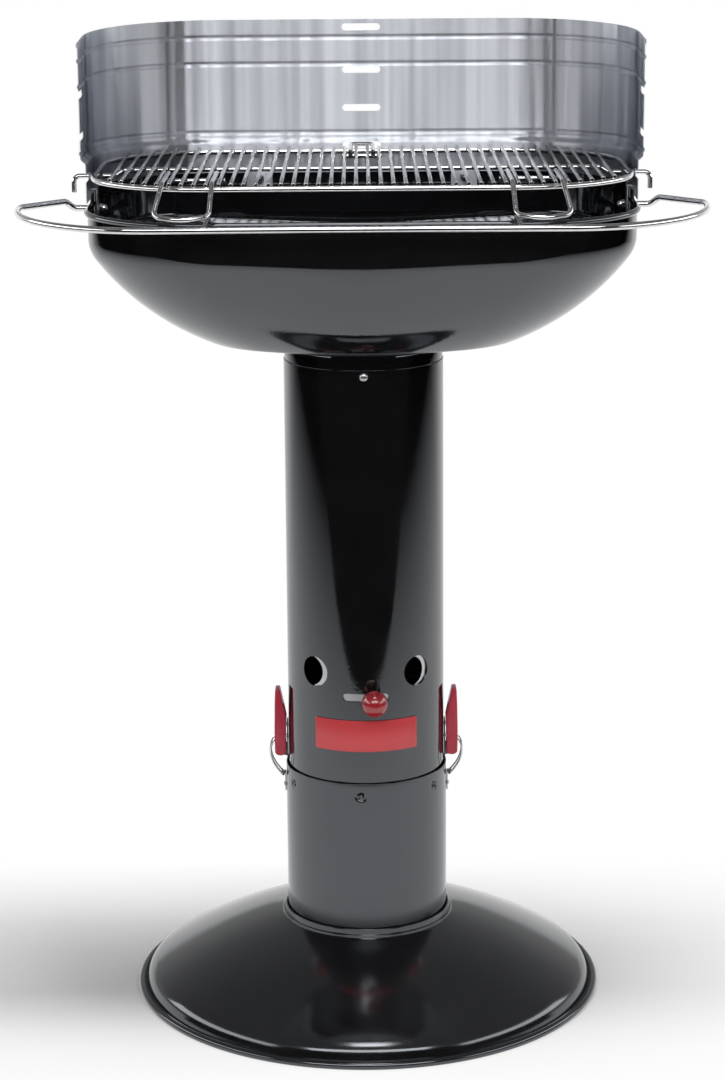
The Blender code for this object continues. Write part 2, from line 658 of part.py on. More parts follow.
def arc_slot(name, radius, height, half_angle, opening):
    # a tool that cuts a slot running round a tube's front, its ends round
    half = opening / 2
    straight = half_angle - half / radius
    edge = [(straight * (2 * k / 10 - 1), -half) for k in range(11)]
    edge += [(straight + half / radius * sin(pi * k / 4), -half * cos(pi * k / 4)) for k in range(1, 4)]
    outline = edge + [(-angle, -rise) for angle, rise in edge]
    rings = [[radial(angle) * reach + Vector((0, 0, height + rise)) for angle, rise in outline]
             for reach in (radius - CUT_REACH, radius + CUT_REACH)]
    return loft(name, rings, None)


def make_damper():
    middle = (VENT_Z + SLOT_Z) / 2
    low = middle - SLEEVE_HEIGHT / 2
    sleeve = turned("damper_sleeve", tube_profile(SLEEVE_OUTSIDE - SLEEVE_SHEET, SLEEVE_OUTSIDE,
                                                  low, low + SLEEVE_HEIGHT), steel("damper_steel"))
    cuts = []
    for azimuth in (-VENT_AZIMUTH, VENT_AZIMUTH):
        out = radial(azimuth + SLEEVE_TURN)
        spot = out * SLEEVE_OUTSIDE + Vector((0, 0, VENT_Z))
        cuts.append(rod("sleeve_vent", spot - out * CUT_REACH, spot + out * CUT_REACH, VENT_RADIUS, 20))
    out = radial(STEM_TURN)
    level = Vector((0, 0, SLOT_Z))
    cuts.append(rod("stem_hole", level + out * (SLEEVE_OUTSIDE - CUT_REACH),
                    level + out * (SLEEVE_OUTSIDE + CUT_REACH), STEM_RADIUS + HOLE_FIT))
    combine(sleeve, join_meshes("sleeve_cuts", cuts))
    knob_center = TUBE_RADIUS + KNOB_REACH
    shoulder = SLEEVE_OUTSIDE + GAP
    tail = SLEEVE_OUTSIDE - SLEEVE_SHEET - STEM_TAIL
    end = knob_center - STEM_END
    collar = STEM_RADIUS + STEM_COLLAR[0]
    collar_end = shoulder + STEM_COLLAR[1]
    profile = [(0, tail), (STEM_RADIUS, tail), (STEM_RADIUS, shoulder), (collar, shoulder),
               (collar, collar_end), (STEM_RADIUS, collar_end + STEM_TAPER), (STEM_RADIUS, end), (0, end)]
    stem = turned("damper_stem", profile, steel("stem_steel"), 12, closed=False)
    face_along(stem, (0, 0, SLOT_Z), out)
    nut = plain_nut("damper_nut", STEM_RADIUS + HOLE_FIT, DAMPER_NUT, steel("damper_nut_steel"))
    face_along(nut, out * (SLEEVE_OUTSIDE - SLEEVE_SHEET - 2 * GAP) + level, -out)
    attach(sleeve, stem, nut, make_knob(out, knob_center, end))


def make_knob(out, center, stem_end):
    # a ball with a blind bore for the stem
    bore = STEM_RADIUS + HOLE_FIT
    profile = [(0, stem_end + GAP), (bore, stem_end + GAP)]
    first = asin(bore / KNOB_RADIUS)
    steps = 8
    for k in range(steps + 1):
        angle = first + (pi - first) * k / steps
        profile.append((KNOB_RADIUS * sin(angle) if k < steps else 0, center - KNOB_RADIUS * cos(angle)))
    knob = turned("damper_knob", profile, paint("knob_red", (0.50, 0.01, 0.03), 0.15, 0), 16, closed=False)
    return face_along(knob, (0, 0, SLOT_Z), out)


def make_label():
    steps = 12
    top = SLOT_Z - LABEL_DROP
    inner = (TUBE_RADIUS + GAP) / cos(LABEL_HALF_ANGLE / steps)
    rings = []
    for k in range(steps + 1):
        out = radial(LABEL_HALF_ANGLE * (2 * k / steps - 1))
        rings.append([out * size + Vector((0, 0, height)) for size, height in
                      ((inner, top), (inner, top - LABEL_HEIGHT), (inner + LABEL_SHEET, top - LABEL_HEIGHT),
                       (inner + LABEL_SHEET, top))])
    return loft("label_plate", rings, paint("label_red", (0.55, 0.03, 0.05), 0.35, 0))


def rivet_heights():
    return [LATCH_PIVOT_Z + rise for rise in LATCH_RIVET_RISES]


def make_latch(side, word):
    make_latch_bracket(side, word)
    attach(make_lever(side, word), make_bail(side, word))
    make_catch(side, word)


def mirrored(thing, side):
    if side < 0:
        thing.data.transform(Matrix.Scale(-1, 4, (1, 0, 0)))
        thing.data.flip_normals()
    return thing


def rivet_bore(name, side, face, height):
    return rod(name, (side * (face - CUT_REACH), 0, height), (side * (face + CUT_REACH), 0, height),
               RIVET_RADIUS + HOLE_FIT)


def make_latch_bracket(side, word):
    # plate on the column with two ears that carry the lever's pin
    low = TUBE_RADIUS + GAP
    high = low + LATCH_PLATE
    width = LATCH_PLATE_HALF_WIDTH
    top = rivet_heights()[-1] + 2 * RIVET_HEAD
    bottom = LATCH_PIVOT_Z - LATCH_PLATE_DROP
    plate = block("latch_bracket_" + word, (low, -width, bottom), (high, width, top),
                  steel("latch_bracket_steel_" + word))
    mirrored(plate, side)
    root = high - LATCH_PLATE / 2
    nose = LATCH_PIVOT_X + EAR_NOSE
    outline = [(root, LATCH_PIVOT_Z + EAR_ROOT[0])]
    outline += [(nose + out, LATCH_PIVOT_Z + rise) for out, rise in EAR_SHAPE]
    outline.append((root, LATCH_PIVOT_Z + EAR_ROOT[1]))
    ears = []
    for sign in (-1, 1):
        ear = extrude_outline("ear", outline, EAR_SHEET, None)
        ear.data.transform(Matrix.Translation((0, sign * EAR_SPREAD, 0)))
        ears.append(mirrored(ear, side))
    combine(plate, join_meshes("latch_ears_" + word, ears), "UNION")
    x = side * LATCH_PIVOT_X
    bore = LATCH_PIN_RADIUS + HOLE_FIT
    holes = [rod("pin_hole", (x, -width, LATCH_PIVOT_Z), (x, width, LATCH_PIVOT_Z), bore)]
    holes += [rivet_bore("rivet_hole", side, high, height) for height in rivet_heights()]
    combine(plate, join_meshes("latch_holes_" + word, holes))
    for number, height in enumerate(rivet_heights(), 1):
        make_rivet("latch_rivet_%s_%d" % (word, number), side, high, TUBE_INSIDE, height)
    reach = LEVER_WIDTH / 2 - LATCH_BORE_WALL - LATCH_END_LOOSE
    pin = rod("latch_pin_" + word, (0, -reach, 0), (0, reach, 0), LATCH_PIN_RADIUS, 12,
              steel("latch_pin_steel_" + word))
    pin.location = (x, 0, LATCH_PIVOT_Z)


def make_rivet(name, side, outer_face, inner_face, height):
    # head outside, shank through both sheets, formed head inside
    head = outer_face + GAP
    tail = inner_face - 2 * GAP
    shoulder = RIVET_HEAD * 0.75
    profile = [(0, head + RIVET_RISE), (shoulder, head + RIVET_RISE * 0.9), (RIVET_HEAD, head),
               (RIVET_RADIUS, head), (RIVET_RADIUS, tail), (RIVET_HEAD, tail),
               (shoulder, tail - RIVET_RISE * 0.9), (0, tail - RIVET_RISE)]
    rivet = turned(name, profile, steel(name + "_steel"), 8, closed=False)
    return face_along(rivet, (0, 0, height), (side, 0, 0))


def make_lever(side, word):
    # offsets from the pivot, towards the outside and up
    round_end = LEVER_BOTTOM_RADIUS
    outline = [(round_end * cos(pi * k / 6), -round_end * sin(pi * k / 6)) for k in range(7)]
    tip = round_end - LEVER_TIP_DEPTH
    outline += [(out - round_end, rise) for out, rise in LEVER_INNER_EDGE]
    outline += [(tip - 1.5 * LEVER_TIP_ROUND[0], LEVER_LENGTH - LEVER_TIP_ROUND[1]),
                (tip - 0.5 * LEVER_TIP_ROUND[0], LEVER_LENGTH)]
    outline += [(round_end + out, rise) for out, rise in LEVER_OUTER_EDGE]
    lever = extrude_outline("latch_lever_" + word, outline, LEVER_WIDTH, red_plastic("lever_red_" + word))
    mirrored(lever, side)
    lever.location = (side * LATCH_PIVOT_X, 0, LATCH_PIVOT_Z)
    bpy.context.view_layer.update()
    inner = LEVER_WIDTH / 2 - LEVER_WALL
    wall = LATCH_PIVOT_X + round_end - LEVER_WALL
    low = LATCH_PIVOT_Z - 2 * round_end
    channel = block("lever_channel_" + word, (TUBE_RADIUS, -inner, low),
                    (wall, inner, LATCH_PIVOT_Z + LEVER_GRIP))
    window = block("lever_window_" + word, (wall - LEVER_WALL, -inner, low),
                   (wall + 2 * LEVER_WALL, inner, LATCH_PIVOT_Z + LEVER_WINDOW))
    combine(lever, mirrored(channel, side))
    combine(lever, mirrored(window, side))
    deep = LEVER_WIDTH / 2 - LATCH_BORE_WALL
    holes = []
    for x, z, radius in ((LATCH_PIVOT_X, LATCH_PIVOT_Z, LATCH_PIN_RADIUS + HOLE_FIT),
                         (BAIL_PIVOT_X, BAIL_PIVOT_Z, BAIL_RADIUS + BAIL_BORE_LOOSE)):
        holes.append(rod("bore", (side * x, -deep, z), (side * x, deep, z), radius))
    return combine(lever, join_meshes("lever_bores_" + word, holes))


def make_bail(side, word):
    leg = LEVER_WIDTH / 2 - LEVER_WALL - BAIL_RADIUS - GAP
    end = LEVER_WIDTH / 2 - LATCH_BORE_WALL - LATCH_END_LOOSE
    x = BAIL_PIVOT_X
    z = BAIL_PIVOT_Z
    route = [(x, z)] + [(x + BAIL_BULGE * out, z - BAIL_DROP * down) for out, down in BAIL_SHAPE]
    route += [(CROSSBAR_X + BAIL_HOOK[0], CROSSBAR_Z + BAIL_HOOK[1]), (CROSSBAR_X, CROSSBAR_Z)]
    half = [(x, end, z)] + [(a, leg, b) for a, b in route]
    other = [(a, -b, c) for a, b, c in reversed(half)]
    path = [Vector((side * a, b, c)) for a, b, c in bent(half + other, BAIL_BEND, 1)]
    bail = wire("latch_bail_" + word, path, BAIL_RADIUS, chrome("bail_chrome_" + word), (0, 0, 1))
    return set_origin(bail, (side * x, 0, z))


def make_catch(side, word):
    # bent plate on the pot whose lip the bail's crossbar pulls against
    wall = CATCH_FACE - CATCH_SHEET
    under = CROSSBAR_Z + BAIL_RADIUS + GAP
    lip = CROSSBAR_X + BAIL_RADIUS + CATCH_LIP
    width = 2 * (LEVER_WIDTH / 2 - LEVER_WALL - 2 * BAIL_RADIUS - 2 * GAP)
    rivet_z = CROSSBAR_Z - CATCH_RIVET_DROP
    bottom = rivet_z - CATCH_SHEET - 2 * RIVET_HEAD
    top = under + CATCH_SHEET
    outline = [(wall, bottom), (CATCH_FACE, bottom), (CATCH_FACE, under), (lip, under),
               (lip, under - CATCH_LIP), (lip + CATCH_SHEET, under - CATCH_LIP), (lip + CATCH_SHEET, top),
               (wall, top)]
    plate = extrude_outline("latch_catch_" + word, outline, width, steel("catch_steel_" + word))
    mirrored(plate, side)
    combine(plate, rivet_bore("catch_hole_" + word, side, CATCH_FACE, rivet_z))
    combine(bpy.data.objects["ash_pot"], rivet_bore("pot_rivet_hole_" + word, side, POT_RADIUS, rivet_z))
    make_rivet("catch_rivet_" + word, side, CATCH_FACE, POT_INSIDE, rivet_z)


def neck_ring(radius, height):
    count = 4 * (CORNER_STEPS + 1)
    turns = [-pi / 2 + 2 * pi * (k + 0.5) / count for k in range(count)]
    return [Vector((radius * cos(turn), radius * sin(turn), height)) for turn in turns]


def bowl_ring(reach_x, height, inset=0.0):
    # plan of the bowl where its section reaches reach_x, between the neck's circle and the wall's plan
    half_x = max(BOWL_HALF_X - inset, reach_x)
    grow = half_x - BOWL_HALF_X
    share = (reach_x - NECK_RADIUS) / (half_x - NECK_RADIUS)
    plan = rounded_rectangle(half_x, BOWL_HALF_Y + grow, BOWL_CORNER + grow)
    circle = neck_ring(NECK_RADIUS, height)
    return [low.lerp(Vector((x, y, height)), share) for low, (x, y) in zip(circle, plan)]


def bowl_section(inset):
    # (reach, height) round the shoulder and down the belly, inset from the outer face
    points = []
    for k in range(2):
        angle = BOWL_SHOULDER_TURN * k / 2
        size = BOWL_SHOULDER - inset
        points.append((BOWL_HALF_X - BOWL_SHOULDER + size * cos(angle), SHOULDER_Z - size * sin(angle)))
    steps = 6
    for k in range(steps + 1):
        angle = BOWL_SHOULDER_TURN + (BELLY_END - BOWL_SHOULDER_TURN) * k / steps
        size = BOWL_BELLY - inset
        points.append((BELLY_X + size * cos(angle), BELLY_Z - size * sin(angle)))
    return points


def make_bowl():
    sheet = BOWL_SHEET
    bead = [(BOWL_HALF_X + BEAD_RADIUS * sin(pi * k / 4), RIM_Z + BEAD_RADIUS * cos(pi * k / 4))
            for k in range(5)]
    neck_top = TUBE_TOP - NECK_FLARE
    neck_bottom = TUBE_TOP - NECK_LENGTH
    rings = [bowl_ring(BOWL_HALF_X, COLLAR_TOP)]
    rings += [bowl_ring(reach, height) for reach, height in bead + bowl_section(0)]
    rings += [neck_ring(NECK_OUTSIDE, neck_top), neck_ring(NECK_OUTSIDE, neck_bottom)]
    rings += [neck_ring(NECK_OUTSIDE - sheet, neck_bottom), neck_ring(NECK_OUTSIDE - sheet, neck_top)]
    rings += [bowl_ring(reach, height, sheet) for reach, height in reversed(bowl_section(sheet))]
    rings += [bowl_ring(BOWL_HALF_X - sheet, height, sheet) for height in (RIM_Z, COLLAR_TOP)]
    bowl = loft("bowl", rings, enamel("bowl_enamel"), wrap=True)
    top = RIM_Z + BEAD_RADIUS
    front = -BOWL_HALF_Y - 2 * BEAD_RADIUS
    step = [(front, top)] + [(COLLAR_FRONT + back, top + rise) for back, rise in COLLAR_STEP]
    step.append((front, top + COLLAR_STEP[-1][1]))
    combine(bowl, extrude_outline("bowl_front_cut", step, 2 * BOWL_HALF_X + 4 * BEAD_RADIUS, None, "YZ"))
    cuts = []
    for k in range(NECK_SCREW_COUNT):
        out = radial(2 * pi * k / NECK_SCREW_COUNT)
        middle = out * NECK_OUTSIDE + Vector((0, 0, NECK_SCREW_Z))
        cuts.append(rod("neck_cut", middle - out * CUT_REACH, middle + out * CUT_REACH,
                        NECK_SCREW_RADIUS + HOLE_FIT))
    for side in (-1, 1):
        cuts += tab_bores(side)
    return combine(bowl, join_meshes("bowl_holes", cuts))


def make_neck_screws():
    for k in range(NECK_SCREW_COUNT):
        out = radial(2 * pi * k / NECK_SCREW_COUNT)
        level = Vector((0, 0, NECK_SCREW_Z))
        name = "neck_screw_%d" % (k + 1)
        screw = headed_shank(name, NECK_SCREW_HEAD, NECK_SCREW_RADIUS, NECK_SCREW_LENGTH,
                             steel(name + "_steel"))
        face_along(screw, out * (TUBE_RADIUS + GAP) + level, out)
        nut_name = "neck_nut_%d" % (k + 1)
        nut = plain_nut(nut_name, NECK_SCREW_RADIUS + HOLE_FIT, NECK_NUT, steel(nut_name + "_steel"))
        face_along(nut, out * (NECK_OUTSIDE - BOWL_SHEET - 2 * GAP) + level, -out)


def make_fire_grate():
    # rests with its frame wire on the belly of the bowl
    size = BOWL_BELLY - BOWL_SHEET - FIRE_WIRE - 2 * GAP
    half_x = BELLY_X + size * cos(FIRE_GRATE_ANGLE)
    height = BELLY_Z - size * sin(FIRE_GRATE_ANGLE)
    surface = bowl_section(BOWL_SHEET)
    reach = half_x
    for (x_high, z_high), (x_low, z_low) in zip(surface, surface[1:]):
        if z_low <= height <= z_high:
            reach = x_low + (x_high - x_low) * (height - z_low) / (z_high - z_low)
    ring = [point * (half_x / reach) for point in bowl_ring(reach, 0, BOWL_SHEET)]
    path = [Vector((point.x, point.y, height)) for point in ring]
    finish = paint("fire_grate_steel", (0.25, 0.25, 0.26), 0.45, 1.0)
    frame = wire("fire_grate", path, FIRE_WIRE, finish, closed=True)
    count = floor(2 * (max(point.y for point in ring) - FIRE_BAR_MARGIN) / FIRE_BAR_PITCH) + 1
    bars = []
    for k in range(count):
        y = (k - (count - 1) / 2) * FIRE_BAR_PITCH
        x = outline_reach(ring, y)
        level = height + FIRE_WIRE * 1.5
        ends = [Vector((-x, y, level)), Vector((x, y, level))]
        bars.append(wire("bar", ends, FIRE_WIRE, None, sides=4))
    return combine(frame, join_meshes("fire_bars", bars), "UNION")


def outline_reach(ring, y):
    # half width of a closed plan at Y
    best = 0.0
    for a, b in zip(ring, ring[1:] + ring[:1]):
        if min(a.y, b.y) <= y <= max(a.y, b.y) and abs(b.y - a.y) > 1e-9:
            best = max(best, abs(a.x + (b.x - a.x) * (y - a.y) / (b.y - a.y)))
    return best


def screen_section():
    # (offset outwards, height above the lower edge), inner face up then outer face down
    levels = [(0.0, 0.0), (0.0, SCREEN_FLARE_RISE - SCREEN_JOGGLE_HALF),
              (SCREEN_FLARE, SCREEN_FLARE_RISE + SCREEN_JOGGLE_HALF)]
    for rise in SCREEN_BEADS:
        levels += [(SCREEN_FLARE, rise - SCREEN_BEAD_HALF), (SCREEN_FLARE + SCREEN_BEAD_DEPTH, rise),
                   (SCREEN_FLARE, rise + SCREEN_BEAD_HALF)]
    inner = levels + [(SCREEN_FLARE, SCREEN_HEIGHT)]
    hem_bottom = SCREEN_HEIGHT - SCREEN_HEM_HEIGHT
    outer = [(SCREEN_FLARE + SCREEN_SHEET + SCREEN_HEM, SCREEN_HEIGHT),
             (SCREEN_FLARE + SCREEN_SHEET + SCREEN_HEM, hem_bottom),
             (SCREEN_FLARE + SCREEN_SHEET, hem_bottom - SCREEN_HEM_ROUND)]
    outer += [(offset + SCREEN_SHEET, rise) for offset, rise in reversed(levels)]
    return inner + outer


def screen_plan(offset):
    # open plan from the left wing's front edge, round the back, to the right wing's front edge
    half_x = BOWL_HALF_X + SCREEN_OFFSET + offset
    half_y = BOWL_HALF_Y + SCREEN_OFFSET + offset
    corner = SCREEN_CORNER + offset
    steps = CORNER_STEPS
    right = [(half_x, COLLAR_FRONT)]
    for k in range(steps + 1):
        angle = pi / 2 * k / steps
        right.append((half_x - corner + corner * cos(angle), half_y - corner + corner * sin(angle)))
    return right + [(-x, y) for x, y in reversed(right)]


def screen_point(station, offset, rise):
    x, y = screen_plan(offset)[station]
    slope_start = SCREEN_BEADS[0]
    share = max(0.0, (rise - slope_start) / (SCREEN_HEIGHT - slope_start))
    forward = (BOWL_HALF_Y + SCREEN_OFFSET - y) / (BOWL_HALF_Y + SCREEN_OFFSET - COLLAR_FRONT)
    return Vector((x, y, SCREEN_BOTTOM + rise - SCREEN_DROP * share * max(0.0, forward)))


def make_windscreen():
    section = screen_section()
    stations = range(len(screen_plan(0.0)))
    rings = [[screen_point(station, offset, rise) for offset, rise in section] for station in stations]
    screen = loft("windscreen", rings, steel("screen_steel"))
    combine(screen, join_meshes("screen_tabs_rear", [rear_tab(side) for side in (-1, 1)]), "UNION")
    combine(screen, join_meshes("screen_tabs_side", [side_tab(side) for side in (-1, 1)]), "UNION")
    cuts = []
    back = BOWL_HALF_Y + SCREEN_OFFSET
    for level in range(LEVEL_COUNT):
        cuts.append(slot_block("rear_slot", (0, back, LEG_Z + level * LEVEL_STEP), SCREEN_SLOT_WIDTH / 2,
                               SCREEN_SLOT_HEIGHT / 2, SCREEN_CUT))
        if level < LEVEL_COUNT - 1:
            cuts += [wing_notch(side, HOOK_Z + level * LEVEL_STEP) for side in (-1, 1)]
    for side in (-1, 1):
        cuts += tab_bores(side)
    return combine(screen, join_meshes("screen_cuts", cuts))


def tab_bores(side):
    # through the collar and the tabs, for the rail's threaded end and the rear bolt
    bolt_z = COLLAR_TOP - TAB_BOLT_DROP
    return [rod("stud_cut", (side * (BOWL_HALF_X - CUT_REACH), RAIL_END_Y, RAIL_END_Z),
                (side * (BOWL_HALF_X + CUT_REACH), RAIL_END_Y, RAIL_END_Z), RAIL_STUD_RADIUS + HOLE_FIT),
            rod("bolt_cut", (side * TAB_X, BOWL_HALF_Y - CUT_REACH, bolt_z),
                (side * TAB_X, BOWL_HALF_Y + CUT_REACH, bolt_z), SCREEN_BOLT_RADIUS + HOLE_FIT)]


def wing_notch(side, height):
    # horizontal notch open at the wing's front edge, its blind end round
    half = SCREEN_SLOT_HEIGHT / 2
    end = SUPPORT_Y + SUPPORT_WIRE + 2 * GAP
    outline = [(COLLAR_FRONT - NOTCH_LEAD, -half), (end - half, -half)]
    outline += [(end - half + half * sin(pi * k / 4), -half * cos(pi * k / 4)) for k in range(1, 4)]
    outline += [(end - half, half), (COLLAR_FRONT - NOTCH_LEAD, half)]
    thing = extrude_outline("wing_notch", outline, SCREEN_CUT, None, "YZ")
    thing.data.transform(Matrix.Translation((side * (BOWL_HALF_X + SCREEN_OFFSET), 0, height)))
    return thing


def tab_outline(bottom, wall, skirt):
    # section of a tab that hooks over the collar: down the inside, across the edge, into the skirt
    inner = wall - TAB_SHEET
    top = COLLAR_TOP + GAP
    return [(inner, bottom), (wall, bottom), (wall, top), (skirt, top), (skirt, top + TAB_SHEET),
            (inner + TAB_ROUND, top + TAB_SHEET), (inner, top + TAB_SHEET - TAB_ROUND)]


def rear_tab(side):
    wall = BOWL_HALF_Y - BOWL_SHEET - GAP
    outline = tab_outline(COLLAR_TOP - TAB_DROP, wall, BOWL_HALF_Y + SCREEN_OFFSET + SCREEN_SHEET / 2)
    tab = extrude_outline("rear_tab", outline, TAB_WIDTH, None, "YZ")
    tab.data.transform(Matrix.Translation((side * TAB_X, 0, 0)))
    return tab


def side_tab(side):
    wall = BOWL_HALF_X - BOWL_SHEET - GAP
    skirt = BOWL_HALF_X + SCREEN_OFFSET + SCREEN_SHEET / 2
    outline = tab_outline(RAIL_END_Z - 2 * WASHER_RADIUS, wall, skirt)
    tab = extrude_outline("side_tab", outline, SIDE_TAB_WIDTH, None, "XZ")
    tab.data.transform(Matrix.Translation((0, RAIL_END_Y, 0)))
    return mirrored(tab, side)


def make_screen_bolts():
    for side, word in ((-1, "left"), (1, "right")):
        height = COLLAR_TOP - TAB_BOLT_DROP
        outer = BOWL_HALF_Y + SCREEN_OFFSET + SCREEN_SHEET + GAP
        inner = BOWL_HALF_Y - BOWL_SHEET - GAP - TAB_SHEET - GAP
        length = outer - inner + NUT_HEIGHT
        bolt = headed_shank("screen_bolt_" + word, SCREEN_BOLT_HEAD, SCREEN_BOLT_RADIUS, length,
                            steel("screen_bolt_steel_" + word))
        face_along(bolt, (side * TAB_X, outer, height), (0, 1, 0))
        nut = acorn_nut("screen_nut_" + word, SCREEN_BOLT_RADIUS + HOLE_FIT, NUT_HEIGHT + NUT_BORE_SPARE,
                        chrome("screen_nut_chrome_" + word))
        face_along(nut, (side * TAB_X, inner, height), (0, -1, 0))


def make_grate():
    finish = chrome("grate_chrome")
    plan = rounded_rectangle(GRATE_HALF_X, GRATE_HALF_Y, GRATE_CORNER)
    path = [Vector((x, y, FRAME_Z)) for x, y in plan]
    frame = wire("cooking_grate", path, FRAME_WIRE, finish, closed=True)
    bars = []
    for k in range(2 * HALF_BARS):
        x = (k + 0.5 - HALF_BARS) * BAR_PITCH
        end = grate_reach(x) + FRAME_WIRE * 0.4
        ends = [Vector((x, -end, BAR_Z)), Vector((x, end, BAR_Z))]
        bars.append(wire("bar", ends, BAR_WIRE, None, sides=4))
    return combine(frame, join_meshes("grate_bars", bars), "UNION")


def grate_reach(x):
    # Y of the frame wire's centre at X
    inward = abs(x) - (GRATE_HALF_X - GRATE_CORNER)
    if inward <= 0:
        return GRATE_HALF_Y
    return GRATE_HALF_Y - GRATE_CORNER + sqrt(GRATE_CORNER ** 2 - inward ** 2)


def make_support_wire():
    # runs under the bars, steps down under the frame and out through the wings' notches
    inner = GRATE_HALF_X - SUPPORT_INSET
    step = inner + SUPPORT_STEP
    out = BOWL_HALF_X + SCREEN_OFFSET + HOOK_REACH
    half = [(inner, SUPPORT_Z), (step, HOOK_Z), (out, HOOK_Z), (out, HOOK_Z - HOOK_DROP)]
    right = [(x, SUPPORT_Y, z) for x, z in half]
    left = [(-x, y, z) for x, y, z in reversed(right)]
    path = bent(left + right, WIRE_BEND, 2)
    return wire("grate_center_wire", path, SUPPORT_WIRE, chrome("center_wire_chrome"), (0, 1, 0))


def make_handles():
    # each loop lies in two gaps between bars, held under them by a short cross bar
    front = -GRATE_HALF_Y
    bar_y = front + HANDLE_BACK
    inner = (HALF_BARS - HANDLE_INNER_GAP) * BAR_PITCH
    outer = (HALF_BARS - HANDLE_OUTER_GAP) * BAR_PITCH
    leg_end = bar_y + LEG_SPARE
    leg_z = SUPPORT_Z + 2 * SUPPORT_WIRE + GAP
    low = LEG_Z - HANDLE_DROP
    made = []
    for side, word in ((-1, "left"), (1, "right")):
        ends = [Vector((side * (x + spare), bar_y, SUPPORT_Z))
                for x, spare in ((inner, -CROSS_BAR_SPARE), (outer, CROSS_BAR_SPARE))]
        made.append(wire("grate_cross_bar_" + word, ends, SUPPORT_WIRE, chrome("cross_bar_chrome_" + word)))
        grip = front - HANDLE_FORWARD
        dip = (front - FRAME_WIRE, LEG_Z - HANDLE_DIP)
        route = [(inner, leg_end, leg_z), (inner, front, LEG_Z), (inner, *dip),
                 (inner + HANDLE_INNER_SHARE * HANDLE_SPREAD, grip, low),
                 ((inner + outer + HANDLE_SPREAD) / 2, grip - HANDLE_BOW[0], low - HANDLE_BOW[1]),
                 (outer + HANDLE_SPREAD, grip, low),
                 (outer, *dip), (outer, front, LEG_Z), (outer, leg_end, leg_z)]
        path = bent([(side * x, y, z) for x, y, z in route], WIRE_BEND, 2)
        made.append(wire("grate_handle_" + word, path, SUPPORT_WIRE, chrome("handle_chrome_" + word)))
    return made


def make_tongue():
    # loop over the rear frame wire that enters the screen's slot
    x = TONGUE_GAP * BAR_PITCH
    back = GRATE_HALF_Y + TONGUE_REACH
    start = back - TONGUE_LENGTH
    leg_z = SUPPORT_Z + 2 * SUPPORT_WIRE + GAP
    route = [(-x, start, leg_z), (-x, back, LEG_Z), (x, back, LEG_Z), (x, start, leg_z)]
    tongue = wire("grate_tongue", bent(route, TONGUE_BEND, 4), SUPPORT_WIRE, chrome("tongue_chrome"))
    cross_y = start + TONGUE_CROSS
    ends = [Vector((sign * (x + CROSS_BAR_SPARE), cross_y, SUPPORT_Z)) for sign in (-1, 1)]
    cross = wire("grate_cross_bar_rear", ends, SUPPORT_WIRE, chrome("cross_bar_chrome_rear"))
    return tongue, cross


def rail_half():
    # from the middle of the front to the threaded end, for +X
    points = [Vector((0, -RAIL_Y, RIM_Z))]
    steps = 10
    span_x = RAIL_X - RAIL_FRONT_HALF
    span_y = RAIL_Y + RAIL_SIDE_Y
    for k in range(steps + 1):
        angle = pi / 2 * k / steps
        points.append(Vector((RAIL_FRONT_HALF + span_x * sin(angle), RAIL_SIDE_Y - span_y * cos(angle),
                              RIM_Z)))
    corner = (RAIL_X - RAIL_TURN[0], RAIL_SIDE_Y + RAIL_TURN[1], RIM_Z)
    branch = (BOWL_HALF_X + RAIL_RETURN_X, RAIL_RETURN_Y, RIM_Z)
    turn = (BOWL_HALF_X + RAIL_END_X, RAIL_END_Y, RAIL_END_Z)
    end = (BOWL_HALF_X, RAIL_END_Y, RAIL_END_Z)
    tail = bent([points[-1], corner, branch, turn, end], WIRE_BEND, 3)
    return points[:-1] + tail


def make_rail():
    half = rail_half()
    stud_start = BOWL_HALF_X + GAP + WASHER_SHEET + GAP
    reach_in = BOWL_HALF_X - BOWL_SHEET - TAB_SHEET - 2 * GAP - NUT_HEIGHT
    path = half[:-1] + [Vector((stud_start + RAIL_TAPER, RAIL_END_Y, RAIL_END_Z)),
                        Vector((stud_start, RAIL_END_Y, RAIL_END_Z)),
                        Vector((reach_in, RAIL_END_Y, RAIL_END_Z))]
    sizes = [RAIL_WIRE] * (len(path) - 2) + [RAIL_STUD_RADIUS] * 2
    left = [Vector((-p.x, p.y, p.z)) for p in reversed(path)][:-1]
    left_sizes = list(reversed(sizes))[:-1]
    return wire("utensil_rail", left + path, left_sizes + sizes, chrome("rail_chrome"), sides=8)


def make_rail_fixings():
    for side, word in ((-1, "left"), (1, "right")):
        ring = washer("rail_washer_" + word, RAIL_STUD_RADIUS + HOLE_FIT, WASHER_RADIUS, WASHER_SHEET,
                      steel("rail_washer_steel_" + word))
        face_along(ring, (side * (BOWL_HALF_X + GAP), RAIL_END_Y, RAIL_END_Z), (side, 0, 0))
        face = BOWL_HALF_X - BOWL_SHEET - TAB_SHEET - 2 * GAP
        nut = acorn_nut("rail_nut_" + word, RAIL_STUD_RADIUS + HOLE_FIT, NUT_HEIGHT + NUT_BORE_SPARE,
                        chrome("rail_nut_chrome_" + word))
        face_along(nut, (side * face, RAIL_END_Y, RAIL_END_Z), (-side, 0, 0))
        inside = -(BOWL_HALF_Y - BOWL_SHEET - GAP - SUPPORT_WIRE)
        over = RIM_Z + BEAD_RADIUS + GAP + SUPPORT_WIRE
        route = [(HOOK_X + HOOK_LEAN, -RAIL_Y + RAIL_WIRE + GAP, RIM_Z),
                 (HOOK_X, inside - HOOK_FLAT, over + HOOK_LIFT), (HOOK_X, inside, over + HOOK_LIFT),
                 (HOOK_X, inside, over - HOOK_TIP)]
        path = bent([(side * x, y, z) for x, y, z in route], HOOK_BEND, 3)
        wire("rail_hook_" + word, path, SUPPORT_WIRE, chrome("rail_hook_chrome_" + word), (1, 0, 0))


